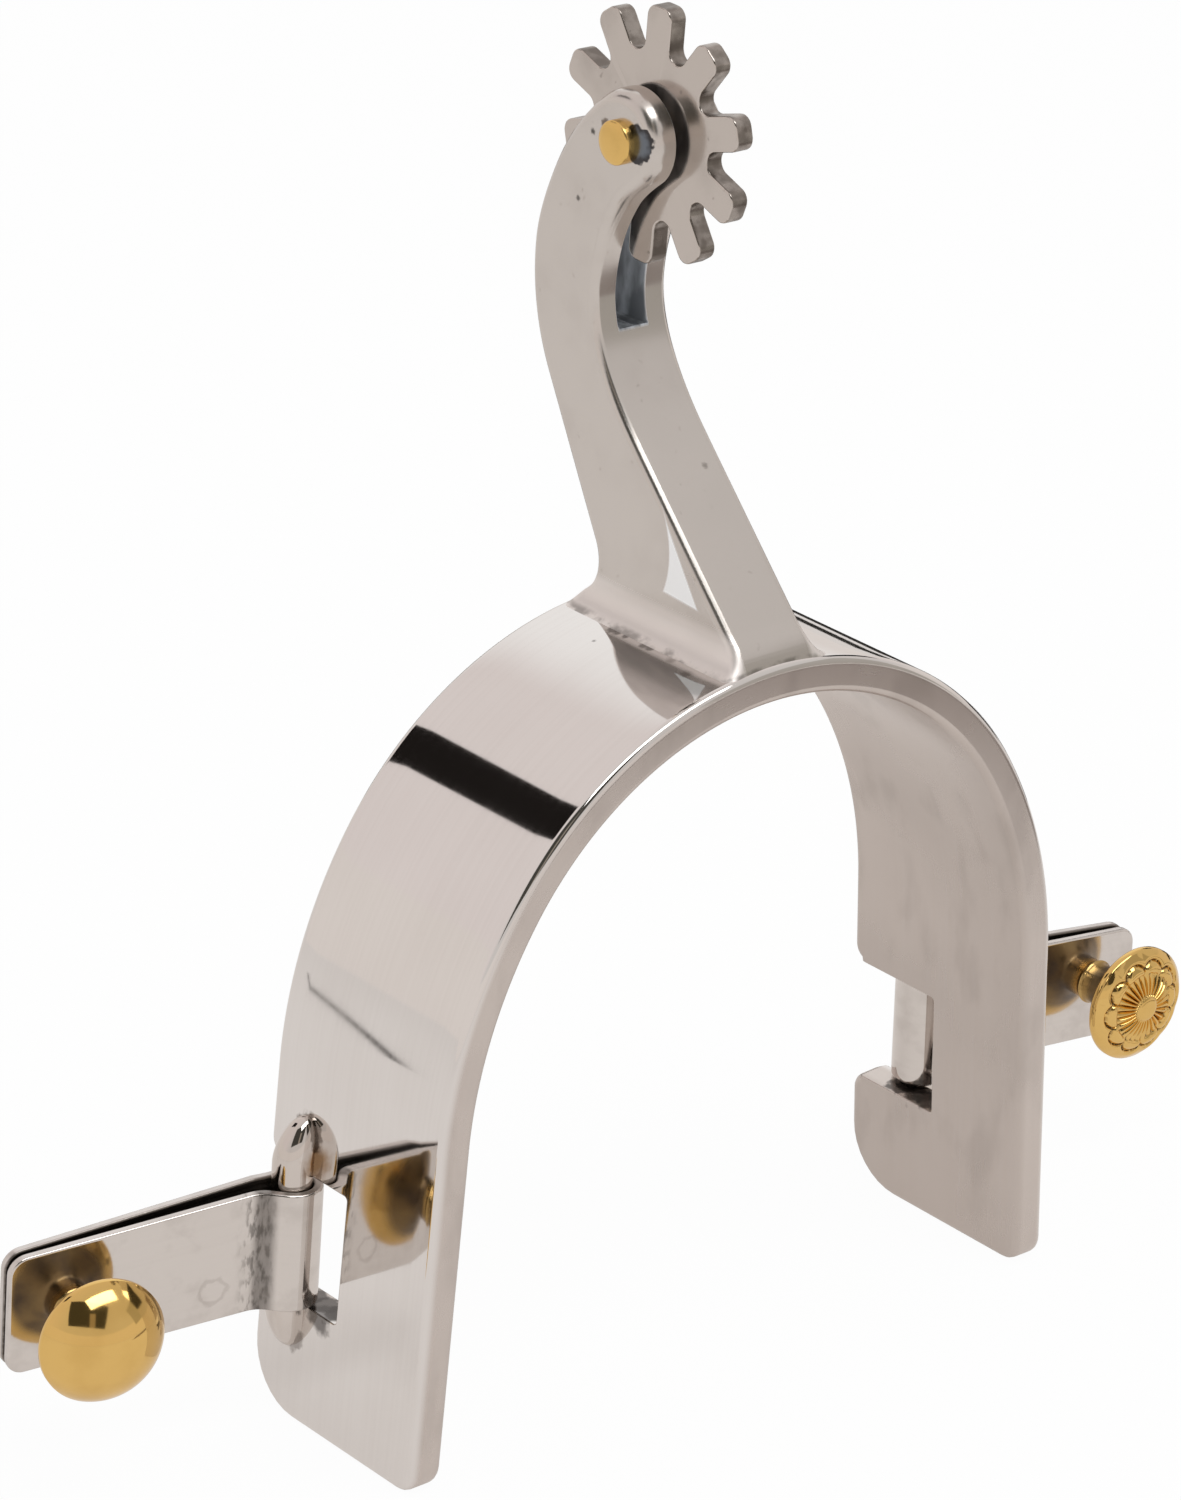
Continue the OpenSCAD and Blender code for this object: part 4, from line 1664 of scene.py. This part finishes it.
MIDDLE = (0.0, 0.0, 0.0)
LEFT_HINGE = (-65.0, -9.0, -23.0)
BLACK, NEAR_BLACK = (0.012, 0.01, 0.009), (0.03, 0.027, 0.025)
CARDS = (
    Card("dark_strip", (-278.0, 490.0, 462.0), MIDDLE, (-0.85, 0.0, -0.53), 119.0, 330.0, BLACK),
    sky("front_dark", -46.0, 46.0, 1000.0, 640.0, (0.065, 0.062, 0.053)),
    sky("side_dark", 106.0, 31.0, 260.0, 220.0, (0.03, 0.03, 0.03)),
    Card(
        "warm_bit", (-420.0, -560.0, 520.0), LEFT_HINGE, (0.8, -0.6, 0.0),
        130.0, 330.0, (0.36, 0.31, 0.26),
    ),
    Card(
        "olive_patch", (93.0, -100.0, 62.0), LEFT_HINGE, (0.5, 0.866, 0.0),
        110.0, 90.0, (0.47, 0.445, 0.41),
    ),
    table("floor_shade", (200.0, -171.0, -37.8), (0.76, -0.65), 200.0, 240.0, (0.30, 0.26, 0.24)),
    table("table_edge_left", (-290.0, 264.0, -37.6), (-0.643, 0.766), 300.0, 3.2, (0.05, 0.045, 0.04)),
    Card(
        "table_edge_right", (330.0, 300.0, -30.0), (0.0, 0.0, -30.0), (0.707, -0.707, 0.0),
        420.0, 46.0, (0.02, 0.018, 0.016),
    ),
    table("floor_dark_right", (190.0, 160.0, -37.7), (0.752, -0.659), 240.0, 150.0, NEAR_BLACK),
    Card(
        "side_wall_right", (430.0, 140.0, -6.0), (0.0, 0.0, -6.0), (0.31, -0.951, 0.0),
        300.0, 62.0, NEAR_BLACK,
    ),
)


@dataclass
class Studio:
    """Floor, light and camera."""

    floor_z: float = -38.3
    floor_radius: float = 3000.0
    azimuth: float = 41.22
    elevation: float = 23.391
    roll: float = 2.787
    distance: float = 559.232
    target: Place = (-10.235, 2.624, 26.284)
    focal_px: float = 5838.153
    lamp_at: Place = (0.0, -0.29, 0.77)
    lamp_size: Point = (0.7, 0.26)
    lamp_watts: float = 2.0
    white: Color = (1.0, 1.0, 1.0)
    floor_tint: Color = (0.80, 0.745, 0.71)
    back_tint: Color = (0.80, 0.735, 0.715)
    front_tint: Color = (0.69, 0.66, 0.64)
    window_tint: Color = (0.99, 0.975, 0.965)
    window_toward: Place = (0.516, 0.684, 0.515)

    def camera(self) -> None:
        """Stands the camera where the photograph was taken."""
        data = bpy.data.cameras.new("studio_camera")
        data.sensor_fit = "VERTICAL"
        data.sensor_height = 36.0
        data.lens = self.focal_px * data.sensor_height / IMAGE_HEIGHT
        data.clip_start = 0.01
        data.clip_end = 20.0
        turn, lift, roll = (math.radians(a) for a in (self.azimuth, self.elevation, self.roll))
        flat = math.cos(lift)
        back = Vector((-math.sin(turn) * flat, -math.cos(turn) * flat, math.sin(lift)))
        right = (-back).cross(Vector((0.0, 0.0, 1.0))).normalized()
        up = right.cross(-back)
        across = right * math.cos(roll) + up * math.sin(roll)
        upward = up * math.cos(roll) - right * math.sin(roll)
        place = Matrix((across, upward, back)).transposed().to_4x4()
        place.translation = (Vector(self.target) + back * self.distance) * MM
        camera = bpy.data.objects.new("studio_camera", data)
        camera.matrix_world = place
        bpy.context.scene.collection.objects.link(camera)
        bpy.context.scene.camera = camera

    def floor(self) -> None:
        """Lays a pale floor that keeps a faint shadow."""
        bm = bmesh.new()
        bmesh.ops.create_circle(bm, cap_ends=True, segments=64, radius=self.floor_radius)
        material = bpy.data.materials.new("pale_floor")
        tree = ShaderTree(material)
        camera, mirror = tree.ray("Camera"), tree.ray("Glossy")
        matt = tree.add("ShaderNodeBsdfDiffuse", {"Color": (0.9, 0.9, 0.9, 1.0)})
        tint = tree.mix(camera, self.floor_tint, self.white)
        glow = tree.add("ShaderNodeEmission", {"Color": tint, "Strength": 1.0})
        sockets = {0: camera * 0.96 + mirror * 0.7, 1: matt.outputs[0], 2: glow.outputs[0]}
        tree.close(tree.add("ShaderNodeMixShader", sockets))
        finish_mesh("floor", bm, Matrix.Translation((0.0, 0.0, self.floor_z)), material)

    def world(self) -> None:
        """Surrounds the object with plain white, which its mirrors see as pale walls."""
        world = bpy.data.worlds.new("white_room")
        bpy.context.scene.world = world
        tree = ShaderTree(world)
        mirror = tree.ray("Glossy")
        seen = tree.ray("Camera").most(mirror).most(tree.ray("Transmission"))
        toward = tree.add("ShaderNodeTexCoord").outputs["Generated"]
        _, deep, high = tree.split(toward)
        walls = tree.mix(deep.between(-0.3, 0.4), self.front_tint, self.back_tint)
        walls = tree.mix(high.between(0.25, 0.28), self.floor_tint, walls)
        sockets = {0: toward, 1: self.window_toward}
        facing = tree.value("ShaderNodeVectorMath", sockets, "Value", operation="DOT_PRODUCT")
        walls = tree.mix(facing.between(0.86, 0.985), walls, self.window_tint)
        sockets = {"Color": tree.mix(mirror, self.white, walls), "Strength": 0.7 + seen * 0.3}
        tree.close(tree.add("ShaderNodeBackground", sockets), "World")

    def lamps(self) -> None:
        """Hangs one large soft lamp over the object."""
        data = bpy.data.lights.new("soft_lamp", "AREA")
        data.shape = "RECTANGLE"
        data.size, data.size_y = self.lamp_size
        data.energy = self.lamp_watts
        lamp = bpy.data.objects.new("soft_lamp", data)
        at = Vector(self.lamp_at)
        lamp.matrix_world = Matrix.Translation(at) @ at.to_track_quat("Z", "Y").to_matrix().to_4x4()
        bpy.context.scene.collection.objects.link(lamp)

    def hang(self, card: Card) -> None:
        """Hangs one card that only mirrors see.

        Args:
            card: The card.
        """
        material = bpy.data.materials.new(card.name)
        tree = ShaderTree(material)
        tree.close(tree.add("ShaderNodeEmission", {"Color": (*card.color, 1.0), "Strength": 1.0}))
        bm = bmesh.new()
        bmesh.ops.create_grid(bm, x_segments=1, y_segments=1, size=0.5)
        bmesh.ops.scale(bm, vec=(card.width, card.height, 1.0), verts=bm.verts)
        facing = (Vector(card.look) - Vector(card.at)).normalized()
        upward = facing.cross(Vector(card.along)).normalized()
        turn = Matrix((upward.cross(facing), upward, facing)).transposed().to_4x4()
        piece = finish_mesh(card.name, bm, Matrix.Translation(card.at) @ turn, material)
        piece.visible_camera = False
        piece.visible_diffuse = False
        piece.visible_shadow = False

    def build(self) -> None:
        """Sets up everything around the object."""
        bpy.context.scene.view_settings.view_transform = "Standard"
        self.camera()
        self.floor()
        self.world()
        self.lamps()
        for card in CARDS:
            self.hang(card)


# The spur


def finishes() -> dict[str, Finish]:
    """The finishes of the spur, by piece.

    Returns:
        Each finish with its stains and pits.
    """
    steel, smoke = (0.80, 0.775, 0.755), (0.62, 0.57, 0.54)
    gold, old_gold = (0.80, 0.53, 0.18), (0.66, 0.41, 0.12)
    soot, dirt, smear = (0.06, 0.055, 0.05), (0.09, 0.08, 0.07), (0.30, 0.27, 0.25)
    seam = tuple(
        Spot((-6.7, y, 37.35), reach, 0.4 * reach, dirt, 0.7)
        for y, reach in ((4.4, 0.7), (3.6, 0.6), (2.4, 0.5), (-0.3, 0.7), (-1.2, 0.6))
    )
    pits_and_recess_shade = (
        Spot((-4.65, 12.9, 84.4), 0.45, 0.1, soot, 0.9),
        Spot((-4.65, 14.6, 77.4), 0.40, 0.1, soot, 0.8),
        Spot((2.2, 2.3, 52.9), 0.5, 0.1, (0.2, 0.18, 0.16), 0.6),
        # A ragged dark recess beside the pin, painted shade with no hollow in the mesh.
        Spot((-4.65, 6.5, 84.8), 1.95, 1.75, (0.035, 0.035, 0.04), 0.95),
        Spot((-4.65, 6.3, 84.9), 1.6, 0.9, (0.20, 0.225, 0.26), 0.8),
        Spot((-4.65, 11.2, 85.6), 0.7, 0.4, (0.12, 0.08, 0.05), 0.8),
        *seam,
        Spot((-7.2, -10.2, 37.2), 1.5, 0.5, (0.05, 0.045, 0.04), 0.9),
        Spot((-6.5, 9.5, 38.2), 1.3, 0.2, (0.16, 0.145, 0.13), 0.7),
    )
    dots = (
        *seam,
        Spot((-9.1, 4.2, 36.8), 0.3, 0.05, soot, 0.6),
        Spot((-6.9, -4.5, 37.3), 0.8, 0.1, smear, 0.6),
        Spot((-7.6, -7.5, 37.1), 0.9, 0.1, smear, 0.6),
    )
    braze_stain_and_shade: list[Spot] = []
    burnt: list[Spot] = []
    for side in (-1.0, 1.0):
        braze_stain_and_shade += [
            # Halos around the post's two ends: braze stain with painted contact shade.
            Spot((side * 39.8, 7.0, -8.0), 2.35, 1.9, (0.15, 0.115, 0.09), 0.7),
            Spot((side * 41.3, 7.1, -29.0), 2.3, 1.7, (0.18, 0.155, 0.14), 0.6),
            # Along the notch's lower edge: painted shadow.
            Spot((side * 40.4, 3.0, -25.8), 2.2, 1.2, (0.10, 0.09, 0.085), 0.8),
            *[Spot((side * 39.15, y, -25.8), 1.9, 1.4, (0.07, 0.06, 0.055), 0.85) for y in (2.0, 4.4, 6.8)],
        ]
        burnt.append(Spot((side * 39.7, 5.6, -10.6), 2.7, 0.7, (0.34, 0.20, 0.09), 0.9))
    return {
        "band": Polished(
            "polished_band_steel", steel, smoke, 0.04, (*braze_stain_and_shade, *dots), 3.7, (0.66, 0.60, 0.56),
            (0.60, 0.54, 0.50), 0.2, roll_off=0.008,
        ),
        # The sheet's near-black inner-face colour is painted shade between the leaves and inside the barrel.
        "sheet": Hanger(
            "polished_sheet_steel", (0.72, 0.68, 0.645), smoke, 0.07, (), 1.0,
            (0.74, 0.70, 0.67), (0.10, 0.085, 0.07),
        ),
        "post": Polished("polished_post_steel", (0.70, 0.65, 0.61), (0.42, 0.35, 0.29), 0.05, tuple(burnt)),
        "shank": Sawn("satin_shank_steel", (0.66, 0.62, 0.585), (0.50, 0.455, 0.42), 0.20, pits_and_recess_shade),
        "rowel": Satin("satin_rowel_steel", (0.60, 0.55, 0.51), (0.20, 0.175, 0.155), 0.11, side_wear=1.0),
        "pin": Brass("pin_brass", gold, old_gold, 0.22, hammered=1.8),
        # The button darkens under its rim: patina with painted shade.
        "brass": Brass("handled_brass", gold, old_gold, 0.07, (), (0.11, 0.085, 0.065), 5.0),
    }


def main() -> None:
    """Builds the spur and its studio and reports each piece."""
    logging.basicConfig(level=logging.INFO, format="%(name)s: %(message)s")
    finish = finishes()
    repeat = RingRepeat()
    band = HeelBand()
    rowel = Rowel()
    straps = [Strap(band, Side.LEFT, 6.0, 13.0), Strap(band, Side.RIGHT, 7.2, -1.0)]
    buttons = [
        Button(straps[0], ButtonFace.DOME, 22.4, -1.0),
        Button(straps[1], ButtonFace.FLOWER, 23.8, 0.5),
    ]
    pieces = [
        band.build(finish["band"]),
        Shank().build(finish["shank"]),
        rowel.build(repeat, finish["rowel"]),
        rowel.build_pin(finish["pin"]),
        *[HingePost(band, side).build(finish["post"]) for side in Side],
        *[strap.build(finish["sheet"]) for strap in straps],
        *[button.build(repeat, finish["brass"]) for button in buttons],
    ]
    for piece in pieces:
        LOG.info("%s: %d faces", piece.name, len(piece.data.polygons))
    Studio().build()


if __name__ == "__main__":
    main()
